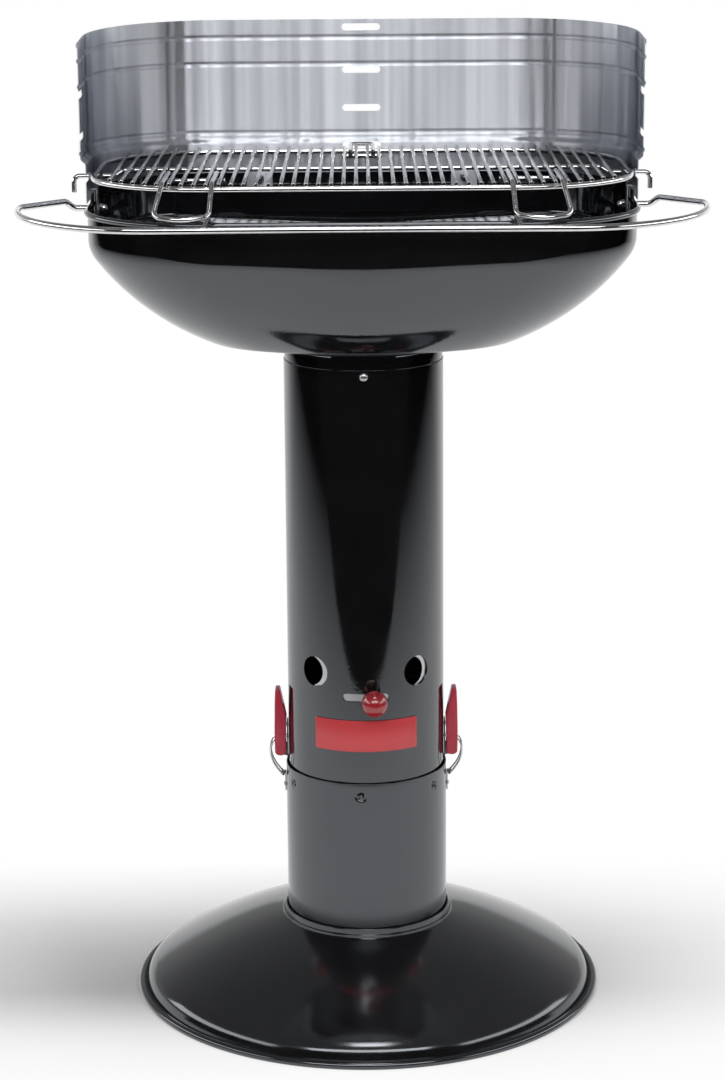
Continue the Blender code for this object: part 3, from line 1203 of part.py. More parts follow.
def main():
    clear_scene()
    make_foot()
    make_pot()
    make_pot_fixing()
    make_column()
    make_damper()
    make_label()
    for side, word in ((-1, "left"), (1, "right")):
        make_latch(side, word)
    make_bowl()
    make_neck_screws()
    make_fire_grate()
    make_windscreen()
    make_screen_bolts()
    attach(make_grate(), make_support_wire(), *make_handles(), *make_tongue())
    make_rail()
    make_rail_fixings()


main()
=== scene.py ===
# Pedestal barbecue grill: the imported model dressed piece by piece, with its camera, floor and lamps.
# Metres throughout, +Z up, the grill's front towards -Y.

from functools import partial
from math import cos, pi, radians, sin, tan

import bmesh
import bpy
from mathutils import Matrix, Vector


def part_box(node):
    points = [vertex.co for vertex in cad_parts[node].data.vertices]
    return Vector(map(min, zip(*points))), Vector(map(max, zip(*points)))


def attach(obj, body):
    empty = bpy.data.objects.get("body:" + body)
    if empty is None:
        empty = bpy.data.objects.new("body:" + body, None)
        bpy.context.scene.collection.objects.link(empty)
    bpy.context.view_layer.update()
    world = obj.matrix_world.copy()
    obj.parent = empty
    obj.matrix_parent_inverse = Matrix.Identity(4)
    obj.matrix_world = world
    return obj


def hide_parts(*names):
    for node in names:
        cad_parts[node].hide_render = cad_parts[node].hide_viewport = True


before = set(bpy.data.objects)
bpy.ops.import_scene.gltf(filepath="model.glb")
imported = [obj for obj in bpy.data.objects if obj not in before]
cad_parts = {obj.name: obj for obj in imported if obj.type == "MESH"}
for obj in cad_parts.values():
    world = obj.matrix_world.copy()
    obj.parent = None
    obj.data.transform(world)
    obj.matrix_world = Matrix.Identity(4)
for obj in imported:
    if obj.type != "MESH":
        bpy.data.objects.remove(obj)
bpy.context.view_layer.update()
bpy.context.scene.tool_settings.mesh_select_mode = (True, False, False)
print("model loaded:", len(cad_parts), "nodes")


def low(node):
    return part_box(node)[0]


def high(node):
    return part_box(node)[1]


# Places and sizes that several pieces share, some read from the model, the rest given here
gap = 0.0004                                # between neighbours
columnRadius = high("column_tube").x
columnTop = high("column_tube").z
potRadius = high("ash_pot").x
potTop = high("ash_pot").z
potFloor = low("ash_pot").z
collarTop = high("bowl").z
collarHeight = 0.0120
rimZ = collarTop - collarHeight             # centre of the bowl's rim bead
beadRadius = 0.0032
wallX = high("bowl").x - beadRadius         # the bowl wall's outer face
wallY = high("bowl").y - beadRadius
wallCorner = 0.1260
bowlSheet = 0.0015
neckRadius = columnRadius - 0.0008          # of the bowl's neck where the column begins
collarFront = -0.0200                       # the collar and the windscreen start here
frameWire = 0.0030
barWire = 0.0020
supportWire = 0.0025
grateX = high("cooking_grate").x - frameWire
grateY = high("cooking_grate").y - frameWire
grateCorner = wallCorner - 0.0070           # the grate lies inside the wall
frameZ = low("cooking_grate").z + frameWire
barZ = high("cooking_grate").z - barWire
supportZ = barZ - barWire - gap - supportWire
legZ = barZ + barWire - (barZ - frameZ) / 2 + 0.0018    # level of the handles' and the tongue's legs
hookZ = high("grate_center_wire").z - supportWire - 0.0052      # level of the side wire's hooks
railWire = 0.0033
railEndZ = rimZ - 0.0075                    # the rail's ends go through the wall under the rim
railEndY = 0.0340
levelStep = 0.0420                          # between the heights at which the grate hangs
wireEnd = 0.22                              # how round a cut wire's end is, as a share of its radius
freeRoom, sharedRoom = 0.999, 0.46          # how much of an edge one corner's arc may take


# Small tools for working as by hand

def letGo():
    if bpy.context.object and bpy.context.object.mode == "EDIT":
        bpy.ops.object.mode_set(mode="OBJECT")
    bpy.ops.object.select_all(action="DESELECT")


def take(*pieces):
    letGo()
    for piece in pieces:
        piece.select_set(True)
    bpy.context.view_layer.objects.active = pieces[0]


def freeze():
    # place, turn and size go into the mesh
    bpy.ops.object.transform_apply(location=True, rotation=True, scale=True)


def pickAll():
    bpy.ops.mesh.select_all(action="SELECT")


def openMesh(piece):
    take(piece)
    bpy.ops.object.mode_set(mode="EDIT")
    pickAll()


def pickPoints(test):
    mesh = bmesh.from_edit_mesh(bpy.context.object.data)
    for point in mesh.verts:
        point.select = bool(test(point.co))
    mesh.select_flush_mode()
    bmesh.update_edit_mesh(bpy.context.object.data)


def pickEdges(test):
    mesh = bmesh.from_edit_mesh(bpy.context.object.data)
    bpy.ops.mesh.select_all(action="DESELECT")
    for edge in mesh.edges:
        if test(edge):
            edge.select = True
    bmesh.update_edit_mesh(bpy.context.object.data)


def divideLong(*limits):
    # edges past each limit are cut up, then all is selected
    for longest, cuts in limits:
        pickEdges(lambda edge: edge.calc_length() > longest)
        bpy.ops.mesh.subdivide(number_cuts=cuts)
    pickAll()


def pickedPoints():
    mesh = bmesh.from_edit_mesh(bpy.context.object.data)
    return [point.co.copy() for point in mesh.verts if point.select]


def closeMesh(merge=0.000002):
    # doubles merged, faces outward, back to object mode
    pickAll()
    bpy.ops.mesh.remove_doubles(threshold=merge)
    pickAll()
    bpy.ops.mesh.normals_make_consistent(inside=False)
    bpy.ops.object.mode_set(mode="OBJECT")
    return bpy.context.object


def drawLine(name, points, closed=False):
    # one vertex drawn after another, left in edit mode
    letGo()
    bpy.ops.mesh.primitive_plane_add(size=0.001, location=(0, 0, 0))
    bpy.context.object.name = name
    bpy.ops.object.mode_set(mode="EDIT")
    bpy.ops.mesh.merge(type="CENTER")
    bpy.ops.transform.translate(value=points[0])
    for before, point in zip(points, points[1:]):
        step = Vector(point) - Vector(before)
        bpy.ops.mesh.extrude_vertices_move(TRANSFORM_OT_translate={"value": step})
    if closed:
        ends = (Vector(points[0]), Vector(points[-1]))
        pickPoints(lambda p: any((p - end).length < 1e-7 for end in ends))
        bpy.ops.mesh.edge_face_add()
    return bpy.context.object


def roundCorners(points, radius, segments=6, closed=False):
    # each corner of a drawn line gets its arc, by a vertex bevel
    spots = [Vector(point) for point in points]
    count = len(spots)
    radii = radius if isinstance(radius, (list, tuple)) else [radius] * count
    for k in range(count):
        if not closed and k in (0, count - 1):
            continue
        back = spots[k - 1] - spots[k]
        ahead = spots[(k + 1) % count] - spots[k]
        turn = pi - back.angle(ahead)
        if turn < radians(3) or radii[k] <= 0:
            continue
        # towards a free end nearly the whole edge is free, towards a corner nearly half of it
        before, after = [freeRoom if not closed and other in (0, count - 1) else sharedRoom
                         for other in (k - 1, (k + 1) % count)]
        reach = min(radii[k] * tan(turn / 2), before * back.length, after * ahead.length)
        corner = spots[k]
        pickPoints(lambda p: (p - corner).length < 1e-6)
        bpy.ops.mesh.bevel(offset=reach, segments=segments, affect="VERTICES")


def drawRing(name, halfX, halfY, corner, height, steps=24, roundness=0.0, edgeCuts=(0.02, 16)):
    # a rounded rectangle of edges, drawn towards a circle by its roundness, left in edit mode
    letGo()
    bpy.ops.mesh.primitive_plane_add(size=2, location=(0, 0, 0))
    ring = bpy.context.object
    ring.name = name
    openMesh(ring)
    bpy.ops.transform.resize(value=(halfX, halfY, 1))
    bpy.ops.transform.translate(value=(0, 0, height))
    bpy.ops.mesh.delete(type="ONLY_FACE")
    pickAll()
    bpy.ops.mesh.bevel(offset=corner, segments=steps, affect="VERTICES")
    if roundness:
        divideLong(edgeCuts)
        bpy.ops.transform.tosphere(value=roundness)
        points = pickedPoints()
        nowX, nowY = max(p.x for p in points), max(p.y for p in points)
        bpy.ops.transform.resize(value=(halfX / nowX, halfY / nowY, 1), center_override=(0, 0, height))
    return ring


def wireFrom(piece, radius, rounds):
    # drawn edges made a round wire
    take(piece)
    bpy.ops.object.convert(target="CURVE")
    piece.data.bevel_depth = radius
    piece.data.bevel_resolution = rounds
    piece.data.use_fill_caps = True
    bpy.ops.object.convert(target="MESH")
    openMesh(piece)
    closeMesh()
    return smooth(piece, 50)


def bendWire(name, points, radius, bend=0.006, segments=6, rounds=3):
    # a wire bent along the points, its cut ends a little rounded
    drawLine(name, points)
    roundCorners(points, bend, segments)
    piece = wireFrom(bpy.context.object, radius, rounds)
    roundEdges(piece, radius * wireEnd, 2, 60)
    return smooth(piece, 50)


def turnProfile(name, profile, steps=128, closed=True, bends=None, segments=4):
    # (reach, height) points drawn in the XZ plane and spun round Z
    points = [(reach, 0, height) for reach, height in profile]
    drawLine(name, points, closed)
    if bends:
        roundCorners(points, bends, segments, closed)
    pickAll()
    bpy.ops.mesh.spin(steps=steps, angle=2 * pi, center=(0, 0, 0), axis=(0, 0, 1))
    return closeMesh()


def drawFace(name, points, bends=None, segments=4):
    # a closed outline with rounded corners, filled and left in edit mode
    drawLine(name, points, True)
    if bends:
        roundCorners(points, bends, segments, True)
    pickAll()
    bpy.ops.mesh.edge_face_add()


def cutPlate(name, outline, depth, across="y", bends=None, segments=4):
    # a closed outline of (out, up) points filled and extruded, centred across
    if across == "y":
        points = [(out, -depth / 2, up) for out, up in outline]
        push = (0, depth, 0)
    else:
        points = [(-depth / 2, out, up) for out, up in outline]
        push = (depth, 0, 0)
    drawFace(name, points, bends, segments)
    bpy.ops.mesh.extrude_region_move(TRANSFORM_OT_translate={"value": push})
    return closeMesh()


def applied(piece, kind, **settings):
    take(piece)
    step = piece.modifiers.new(kind.lower(), kind)
    for key, value in settings.items():
        setattr(step, key, value)
    bpy.ops.object.modifier_apply(modifier=step.name)
    return piece


def roundEdges(piece, width, segments=2, angle=40):
    return applied(piece, "BEVEL", width=width, segments=segments, limit_method="ANGLE",
                   angle_limit=radians(angle))


def cutAway(piece, *cutters):
    for cutter in cutters:
        applied(piece, "BOOLEAN", operation="DIFFERENCE", object=cutter, solver="EXACT")
        bpy.data.objects.remove(cutter)
    return piece


def smooth(piece, angle=35):
    take(piece)
    bpy.ops.object.shade_smooth_by_angle(angle=radians(angle))
    return piece


def joined(name, pieces):
    take(*pieces)
    if len(pieces) > 1:
        bpy.ops.object.join()
    bpy.context.object.name = name
    return bpy.context.object


def copied(piece, name, shift=(0, 0, 0)):
    take(piece)
    bpy.ops.object.duplicate()
    copy = bpy.context.object
    copy.name = name
    if any(shift):
        openMesh(copy)
        bpy.ops.transform.translate(value=shift)
        letGo()
    return copy


def turnFaces(piece):
    openMesh(piece)
    bpy.ops.mesh.flip_normals()
    letGo()


def mirrored(piece, name):
    # the other side's piece, with its faces turned outward again
    copy = copied(piece, name)
    copy.scale = (-1, 1, 1)
    freeze()
    openMesh(copy)
    bpy.ops.mesh.normals_make_consistent(inside=False)
    letGo()
    return copy


def placed(piece, point, direction):
    # a piece made standing on Z 0, set at a point and along a direction
    take(piece)
    turn = Vector(direction).to_track_quat("Z", "Y").to_matrix().to_4x4()
    piece.matrix_world = Matrix.Translation(point) @ turn
    freeze()
    return piece


def radial(azimuth):
    return Vector((sin(azimuth), -cos(azimuth), 0))


def arc(centerOut, centerUp, radius, start, end, steps):
    # points of an arc, angles in degrees
    turns = [radians(start + (end - start) * k / steps) for k in range(steps + 1)]
    return [(centerOut + radius * cos(turn), centerUp + radius * sin(turn)) for turn in turns]


def curvePoint(pulls, share):
    # a point of the smooth curve that four (out, up) pulls give
    rest = 1 - share
    weights = (rest ** 3, 3 * rest ** 2 * share, 3 * rest * share ** 2, share ** 3)
    return tuple(sum(weight * pull[k] for weight, pull in zip(weights, pulls)) for k in (0, 1))


def domeLine(radius, foot, top, steps):
    # (reach, height) points of a dome, from just above its foot to its top
    turns = [pi / 2 * k / steps for k in range(1, steps)]
    return [(radius * cos(turn), foot + (top - foot) * sin(turn)) for turn in turns] + [(0, top)]


def settle(piece, name, body, finish, slotName, *nodes):
    # name, material, body and the nodes it stands for
    letGo()
    piece.name = name
    piece.data.name = name
    piece.data.materials.clear()
    piece.data.materials.append(finish)
    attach(piece, body)
    if nodes:
        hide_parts(*nodes)
    return piece


def dressNode(node, finish):
    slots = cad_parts[node].material_slots
    for slot in slots:
        slot.material = finish


# Materials

def newFinish(name):
    finish = bpy.data.materials.new(name)
    finish.use_nodes = True
    nodes = finish.node_tree.nodes
    return finish, nodes, finish.node_tree.links, nodes["Principled BSDF"]


def patternNoise(nodes, links, stretch, size, detail=2.0):
    # noise over the object's own coordinates
    place = nodes.new("ShaderNodeTexCoord")
    mapping = nodes.new("ShaderNodeMapping")
    mapping.inputs["Scale"].default_value = stretch
    noise = nodes.new("ShaderNodeTexNoise")
    noise.inputs["Scale"].default_value = size
    noise.inputs["Detail"].default_value = detail
    links.new(place.outputs["Object"], mapping.inputs["Vector"])
    links.new(mapping.outputs["Vector"], noise.inputs["Vector"])
    return noise.outputs["Fac"]


def spread(nodes, links, source, lowest, highest, start=0.3, end=0.7):
    # a value between lowest and highest
    spreadNode = nodes.new("ShaderNodeMapRange")
    spreadNode.inputs["From Min"].default_value = start
    spreadNode.inputs["From Max"].default_value = end
    spreadNode.inputs["To Min"].default_value = lowest
    spreadNode.inputs["To Max"].default_value = highest
    links.new(source, spreadNode.inputs["Value"])
    return spreadNode.outputs["Result"]


def shades(nodes, links, source, dark, pale, start=0.3, end=0.7):
    # a colour between two shades
    ramp = nodes.new("ShaderNodeValToRGB")
    ramp.color_ramp.elements[0].position = start
    ramp.color_ramp.elements[0].color = (*dark, 1)
    ramp.color_ramp.elements[1].position = end
    ramp.color_ramp.elements[1].color = (*pale, 1)
    links.new(source, ramp.inputs["Fac"])
    return ramp.outputs["Color"]


def relief(nodes, links, source, shader, strength, distance):
    bump = nodes.new("ShaderNodeBump")
    bump.inputs["Strength"].default_value = strength
    bump.inputs["Distance"].default_value = distance
    links.new(source, bump.inputs["Height"])
    links.new(bump.outputs["Normal"], shader.inputs["Normal"])
    return bump


enamelLooks = {
    "blackEnamel": {"dark": (0.0030, 0.0030, 0.0034), "pale": (0.0058, 0.0058, 0.0064),
                    "roughness": (0.035, 0.085), "specular": 0.95, "peelSize": 420.0},
    "footEnamel": {"dark": (0.0040, 0.0040, 0.0044), "pale": (0.0072, 0.0072, 0.0078),
                   "roughness": (0.11, 0.16), "specular": 0.85, "peelSize": 380.0},
    "potEnamel": {"dark": (0.0060, 0.0063, 0.0075), "pale": (0.0100, 0.0105, 0.0125),
                  "roughness": (0.10, 0.16), "specular": 0.95, "peelSize": 420.0},
}
enamelShared = {"ior": 1.60, "tint": (0.90, 0.94, 1.0, 1), "cloudSize": 14.0,
                "peelStrength": 0.10, "peelDepth": 0.0002}


def makeEnamel(name):
    look = {**enamelShared, **enamelLooks[name]}
    finish, nodes, links, shader = newFinish(name)
    cloud = patternNoise(nodes, links, (1, 1, 1), look["cloudSize"], 3.0)
    links.new(shades(nodes, links, cloud, look["dark"], look["pale"]), shader.inputs["Base Color"])
    links.new(spread(nodes, links, cloud, *look["roughness"]), shader.inputs["Roughness"])
    shader.inputs["IOR"].default_value = look["ior"]
    shader.inputs["Specular IOR Level"].default_value = look["specular"]
    shader.inputs["Specular Tint"].default_value = look["tint"]
    peel = patternNoise(nodes, links, (1, 1, 1), look["peelSize"], 1.0)
    relief(nodes, links, peel, shader, look["peelStrength"], look["peelDepth"])
    return finish


grainDepth = 0.0001                         # of the finest relief on metal and plastic
metalLooks = {
    # the brushed sheet's colour runs from dark to pale along upright streaks: painted reflection streaks that
    # stand in for the sheet's blurred reflections
    "brushedSheet": {"dark": (0.47, 0.49, 0.53), "pale": (0.70, 0.72, 0.77), "roughness": (0.36, 0.44),
                     "stretch": (14.0, 14.0, 2600.0), "anisotropy": 1.0, "turn": 0.25, "bump": 0.010,
                     "waves": (42.0, 42.0, 1.2), "waveDepth": 0.0032, "paintedReflectionStreaks": (58.0, 58.0, 1.6)},
    "satinSheet": {"dark": (0.55, 0.55, 0.56), "pale": (0.68, 0.68, 0.69), "roughness": (0.22, 0.34),
                   "stretch": (60.0, 60.0, 60.0), "bump": 0.04},
    "brightWire": {"dark": (0.62, 0.62, 0.63), "pale": (0.78, 0.78, 0.79), "roughness": (0.07, 0.16),
                   "stretch": (120.0, 120.0, 120.0), "bump": 0.02},
    "zincPlate": {"dark": (0.46, 0.46, 0.47), "pale": (0.62, 0.62, 0.63), "roughness": (0.22, 0.34),
                  "stretch": (260.0, 260.0, 260.0), "bump": 0.04},
    "darkPlate": {"dark": (0.10, 0.10, 0.11), "pale": (0.20, 0.20, 0.21), "roughness": (0.25, 0.38),
                  "stretch": (150.0, 150.0, 150.0), "bump": 0.04},
    "darkWire": {"dark": (0.13, 0.13, 0.13), "pale": (0.26, 0.26, 0.26), "roughness": (0.34, 0.52),
                 "stretch": (180.0, 180.0, 180.0), "bump": 0.15},
}


def makeMetal(name):
    look = metalLooks[name]
    finish, nodes, links, shader = newFinish(name)
    shader.inputs["Metallic"].default_value = 1.0
    grain = patternNoise(nodes, links, look["stretch"], 1.0, 4.0)
    # where a look has them, the upright streaks set the colour, which paints reflection streaks onto the
    # sheet; otherwise the random grain does
    tint = patternNoise(nodes, links, look["paintedReflectionStreaks"], 1.0, 2.0) if "paintedReflectionStreaks" in look else grain
    links.new(shades(nodes, links, tint, look["dark"], look["pale"]), shader.inputs["Base Color"])
    links.new(spread(nodes, links, grain, *look["roughness"]), shader.inputs["Roughness"])
    fine = relief(nodes, links, grain, shader, look["bump"], grainDepth)
    if "waves" in look:                     # the thin sheet is a little wavy
        wave = patternNoise(nodes, links, look["waves"], 1.0, 1.0)
        coarse = relief(nodes, links, wave, shader, 1.0, look["waveDepth"])
        links.new(coarse.outputs["Normal"], fine.inputs["Normal"])
        links.new(fine.outputs["Normal"], shader.inputs["Normal"])
    if "anisotropy" in look:                # brushed round the upright axis
        shader.inputs["Anisotropic"].default_value = look["anisotropy"]
        shader.inputs["Anisotropic Rotation"].default_value = look["turn"]
        along = nodes.new("ShaderNodeTangent")
        along.direction_type = "RADIAL"
        along.axis = "Z"
        links.new(along.outputs["Tangent"], shader.inputs["Tangent"])
    return finish


plasticCloud = 60.0                         # size of the faint clouds in the plastic's colour
plasticLooks = {
    "knobRed": {"dark": (0.300, 0.011, 0.018), "pale": (0.360, 0.014, 0.022), "roughness": (0.15, 0.20),
                "ior": 1.60, "specular": 0.70, "grain": 500.0, "bump": 0.02},
    "leverRed": {"dark": (0.400, 0.018, 0.042), "pale": (0.470, 0.024, 0.054), "roughness": (0.26, 0.34),
                 "ior": 1.50, "specular": 0.50, "grain": 900.0, "bump": 0.10},
    "labelRed": {"dark": (0.590, 0.044, 0.052), "pale": (0.620, 0.047, 0.055), "roughness": (0.29, 0.32),
                 "ior": 1.55, "specular": 0.55, "grain": 700.0, "bump": 0.02},
    "sealRubber": {"dark": (0.014, 0.014, 0.014), "pale": (0.024, 0.024, 0.024), "roughness": (0.6, 0.8),
                   "ior": 1.50, "specular": 0.50, "grain": 800.0, "bump": 0.15},
}


def makePlastic(name):
    look = plasticLooks[name]
    finish, nodes, links, shader = newFinish(name)
    cloud = patternNoise(nodes, links, (1, 1, 1), plasticCloud, 3.0)
    links.new(shades(nodes, links, cloud, look["dark"], look["pale"]), shader.inputs["Base Color"])
    links.new(spread(nodes, links, cloud, *look["roughness"]), shader.inputs["Roughness"])
    shader.inputs["IOR"].default_value = look["ior"]
    shader.inputs["Specular IOR Level"].default_value = look["specular"]
    grain = patternNoise(nodes, links, (1, 1, 1), look["grain"], 2.0)
    relief(nodes, links, grain, shader, look["bump"], grainDepth)
    return finish


blackEnamel, footEnamel, potEnamel = [makeEnamel(name) for name in enamelLooks]
(brushedSheet, satinSheet, brightWire, zincPlate, darkPlate,
 darkWire) = [makeMetal(name) for name in metalLooks]
knobRed, leverRed, labelRed, sealRubber = [makePlastic(name) for name in plasticLooks]
print("materials ready")


# Camera and studio

cameraView = {
    "place": (-0.0023, -2.896, 1.199), "pitch": 13.78, "roll": -0.43, "lens": 94.83, "farthest": 60,
}

bpy.ops.object.camera_add()
camera = bpy.context.object
camera.matrix_world = (Matrix.Translation(cameraView["place"])
                       @ Matrix.Rotation(radians(90 - cameraView["pitch"]), 4, "X")
                       @ Matrix.Rotation(radians(cameraView["roll"]), 4, "Z"))
camera.data.lens = cameraView["lens"]
camera.data.clip_end = cameraView["farthest"]
bpy.context.scene.camera = camera

studio = {
    "floorSize": 24.0, "floorZ": -0.0005, "floorColor": (0.80, 0.80, 0.80), "worldLight": 0.12,
    # how much of the floor is plain white at each Y: a soft grey band of painted shadow lies behind the foot,
    # and the grill's own cast shadow shows in it
    "band": ((-0.900, 1.00), (-0.280, 0.92), (-0.196, 0.78), (-0.145, 0.60), (-0.093, 0.30),
             (-0.039, 0.07), (0.080, 0.05), (0.160, 0.15), (0.360, 1.00)),
    "shadowBandSpan": 2.0,                        # the length in Y that the colour ramp covers
    "shadowBandHalf": 0.70,                       # the band of painted shadow ends past this X, out of the camera's view
    # what gloss sees: a white floor that fades sideways and ends in front, dark walls, a grey ceiling
    "fadeStart": 1.60, "fadeOut": -0.50, "fadeBack": 0.27, "fadeLimit": 1.40,
    "frontEdge": ((0.0, -1.19), (0.5, -1.22), (1.0, -1.27), (1.9, -1.38), (7.0, -1.60)), "frontZ": 0.001,
    "wallBack": 1.60, "far": 7.0, "top": 4.5, "darkShade": 0.014,
    "ceilingShade": 0.17, "ceilingEnd": 0.45, "ceilingBack": 26.0,
    # and bright boxes: one at each side, one above
    "boxX": 2.6, "boxY": (-2.40, 1.70), "boxZ": (0.95, 1.80), "boxShade": 3.0,
    "skyX": (-0.28, 0.36), "skyY": (-1.25, -0.60), "skyZ": 3.0, "skyShade": 9.0,
}

lamps = {
    # place, aim, size, power, seen in gloss
    "overheadLamp": ((0.22, 0.05, 3.2), (0.08, 0, 0), (1.2, 1.0), 85.0, False),
    "frontLamp": ((0, -4.2, 3.3), (0, 0, 0.7), (5.4, 1.4), 124.0, True),
    "leftLamp": ((-3.0, -1.0, 2.0), (0, 0, 0.5), (1.6, 2.2), 8.0, False),
    "rightLamp": ((3.0, -1.0, 2.0), (0, 0, 0.5), (1.6, 2.2), 8.0, False),
}


def mathNode(nodes, links, operation, *values, clamp=False):
    # numbers are typed in, outputs are linked
    node = nodes.new("ShaderNodeMath")
    node.operation = operation
    node.use_clamp = clamp
    for socket, value in zip(node.inputs, values):
        if isinstance(value, (int, float)):
            socket.default_value = value
        else:
            links.new(value, socket)
    return node.outputs[0]


def emptyFinish(name):
    # a material with nothing but its output
    finish = bpy.data.materials.new(name)
    finish.use_nodes = True
    nodes, links = finish.node_tree.nodes, finish.node_tree.links
    nodes.clear()
    return finish, nodes, links, nodes.new("ShaderNodeOutputMaterial")


def ownPlace(nodes, links):
    # X, Y and Z on the object
    place = nodes.new("ShaderNodeTexCoord")
    parts = nodes.new("ShaderNodeSeparateXYZ")
    links.new(place.outputs["Object"], parts.inputs["Vector"])
    return parts.outputs


def makeFloor(look):
    letGo()
    bpy.ops.mesh.primitive_plane_add(size=look["floorSize"], location=(0, 0, look["floorZ"]))
    floor = bpy.context.object
    floor.name = "studioFloor"
    finish, nodes, links, out = emptyFinish("paleFloor")
    matte = nodes.new("ShaderNodeBsdfDiffuse")
    matte.inputs["Color"].default_value = (*look["floorColor"], 1)
    white = nodes.new("ShaderNodeEmission")
    mix = nodes.new("ShaderNodeMixShader")
    place = ownPlace(nodes, links)
    path = nodes.new("ShaderNodeLightPath").outputs
    ramp = nodes.new("ShaderNodeValToRGB")
    sums = partial(mathNode, nodes, links)

    # the camera sees the band of painted shadow, with the real cast shadow in it, and plain white beside it;
    # gloss sees white all over
    span = look["shadowBandSpan"]
    elements = ramp.color_ramp.elements
    while len(elements) < len(look["band"]):
        elements.new(0.5)
    for element, (spot, level) in zip(elements, look["band"]):
        element.position = (spot + span / 2) / span
        element.color = (level, level, level, 1)
    links.new(sums("MULTIPLY_ADD", place["Y"], 1 / span, 0.5), ramp.inputs["Fac"])
    seen = sums("MULTIPLY", ramp.outputs["Color"], path["Is Camera Ray"])
    gloss = sums("MAXIMUM", path["Is Glossy Ray"], path["Is Transmission Ray"])
    beside = sums("SUBTRACT", sums("ABSOLUTE", place["X"]), look["shadowBandHalf"], clamp=True)
    beside = sums("MULTIPLY", beside, path["Is Camera Ray"])
    seen = sums("MAXIMUM", seen, beside)
    links.new(sums("MAXIMUM", seen, gloss), mix.inputs["Fac"])

    # in gloss the white fades with the distance from the grill, less so behind it
    flat = nodes.new("ShaderNodeCombineXYZ")
    links.new(place["X"], flat.inputs["X"])
    links.new(sums("MINIMUM", place["Y"], look["fadeLimit"]), flat.inputs["Y"])
    length = nodes.new("ShaderNodeVectorMath")
    length.operation = "LENGTH"
    links.new(flat.outputs["Vector"], length.inputs[0])
    fade = sums("MULTIPLY_ADD", length.outputs["Value"], look["fadeOut"], look["fadeStart"])
    fade = sums("MULTIPLY_ADD", place["Y"], look["fadeBack"], fade, clamp=True)
    links.new(sums("MAXIMUM", fade, path["Is Camera Ray"]), white.inputs["Strength"])
    links.new(matte.outputs[0], mix.inputs[1])
    links.new(white.outputs[0], mix.inputs[2])
    links.new(mix.outputs[0], out.inputs["Surface"])
    floor.data.materials.append(finish)


def makeWorld(look):
    world = bpy.data.worlds.new("studioWorld")
    world.use_nodes = True
    nodes, links = world.node_tree.nodes, world.node_tree.links
    nodes.clear()
    out = nodes.new("ShaderNodeOutputWorld")
    seen = nodes.new("ShaderNodeBackground")
    seen.inputs["Strength"].default_value = 1.0
    fill = nodes.new("ShaderNodeBackground")
    fill.inputs["Strength"].default_value = look["worldLight"]
    mix = nodes.new("ShaderNodeMixShader")
    path = nodes.new("ShaderNodeLightPath").outputs
    for background in (seen, fill):
        background.inputs["Color"].default_value = (1, 1, 1, 1)
    gloss = mathNode(nodes, links, "MAXIMUM", path["Is Glossy Ray"], path["Is Transmission Ray"])
    links.new(mathNode(nodes, links, "MAXIMUM", path["Is Camera Ray"], gloss), mix.inputs["Fac"])
    links.new(fill.outputs[0], mix.inputs[1])
    links.new(seen.outputs[0], mix.inputs[2])
    links.new(mix.outputs[0], out.inputs["Surface"])
    bpy.context.scene.world = world


def addLamp(name, place, target, size, power, inGloss):
    letGo()
    bpy.ops.object.light_add(type="AREA", location=place)
    lamp = bpy.context.object
    lamp.name = name
    lamp.data.shape = "RECTANGLE"
    lamp.data.size, lamp.data.size_y = size
    lamp.data.energy = power
    aim = Vector(target) - Vector(place)
    lamp.rotation_euler = aim.to_track_quat("-Z", "Y").to_euler()
    lamp.visible_glossy = inGloss


def addCard(name, corners, shade, endShade=None):
    # a card that only reflections see; with an end shade it fades along Y
    points = [Vector(corner) for corner in corners]
    drawFace(name, points)
    letGo()
    card = bpy.context.object
    finish, nodes, links, out = emptyFinish(name)
    glow = nodes.new("ShaderNodeEmission")
    glow.inputs["Strength"].default_value = shade
    if endShade is not None:
        depth = max(point.y for point in points)
        fade = spread(nodes, links, ownPlace(nodes, links)["Y"], shade, endShade, 0.1 * depth, 0.5 * depth)
        links.new(fade, glow.inputs["Strength"])
    links.new(glow.outputs[0], out.inputs["Surface"])
    card.data.materials.append(finish)
    card.visible_camera = False
    card.visible_diffuse = False
    card.visible_shadow = False


def cornersOf(*sides):
    # a card's four corners: two of its X, Y and Z are spans, the third is one number
    corners = []
    for ends in ((0, 0), (1, 0), (1, 1), (0, 1)):
        pick = iter(ends)
        corners.append([side[next(pick)] if isinstance(side, tuple) else side for side in sides])
    return corners


def addCards(look):
    dark, far, top, end = look["darkShade"], look["far"], look["top"], look["ceilingBack"]
    edge = look["frontEdge"]
    edge = [(-x, y) for x, y in edge[:0:-1]] + list(edge) + [(far, -far), (-far, -far)]
    addCard("floorFront", [(x, y, look["frontZ"]) for x, y in edge], dark)
    for sign, word in ((-1, "Left"), (1, "Right")):
        addCard("wall" + word, cornersOf(sign * far, (-far, look["wallBack"]), (0, top)), dark)
        addCard("box" + word, cornersOf(sign * look["boxX"], look["boxY"], look["boxZ"]), look["boxShade"])
    addCard("sky", cornersOf(look["skyX"], look["skyY"], look["skyZ"]), look["skyShade"])
    addCard("wallFront", cornersOf((-far, far), -far, (0, top)), dark)
    addCard("ceiling", cornersOf((-end, end), (-far, end), top), look["ceilingShade"], look["ceilingEnd"])


makeFloor(studio)
makeWorld(studio)
for name, lamp in lamps.items():
    addLamp(name, *lamp)
addCards(studio)
bpy.context.scene.view_settings.view_transform = "Standard"
print("camera and studio ready")


# Foot: pressed dish with a raised ring round the pot and a rolled rim

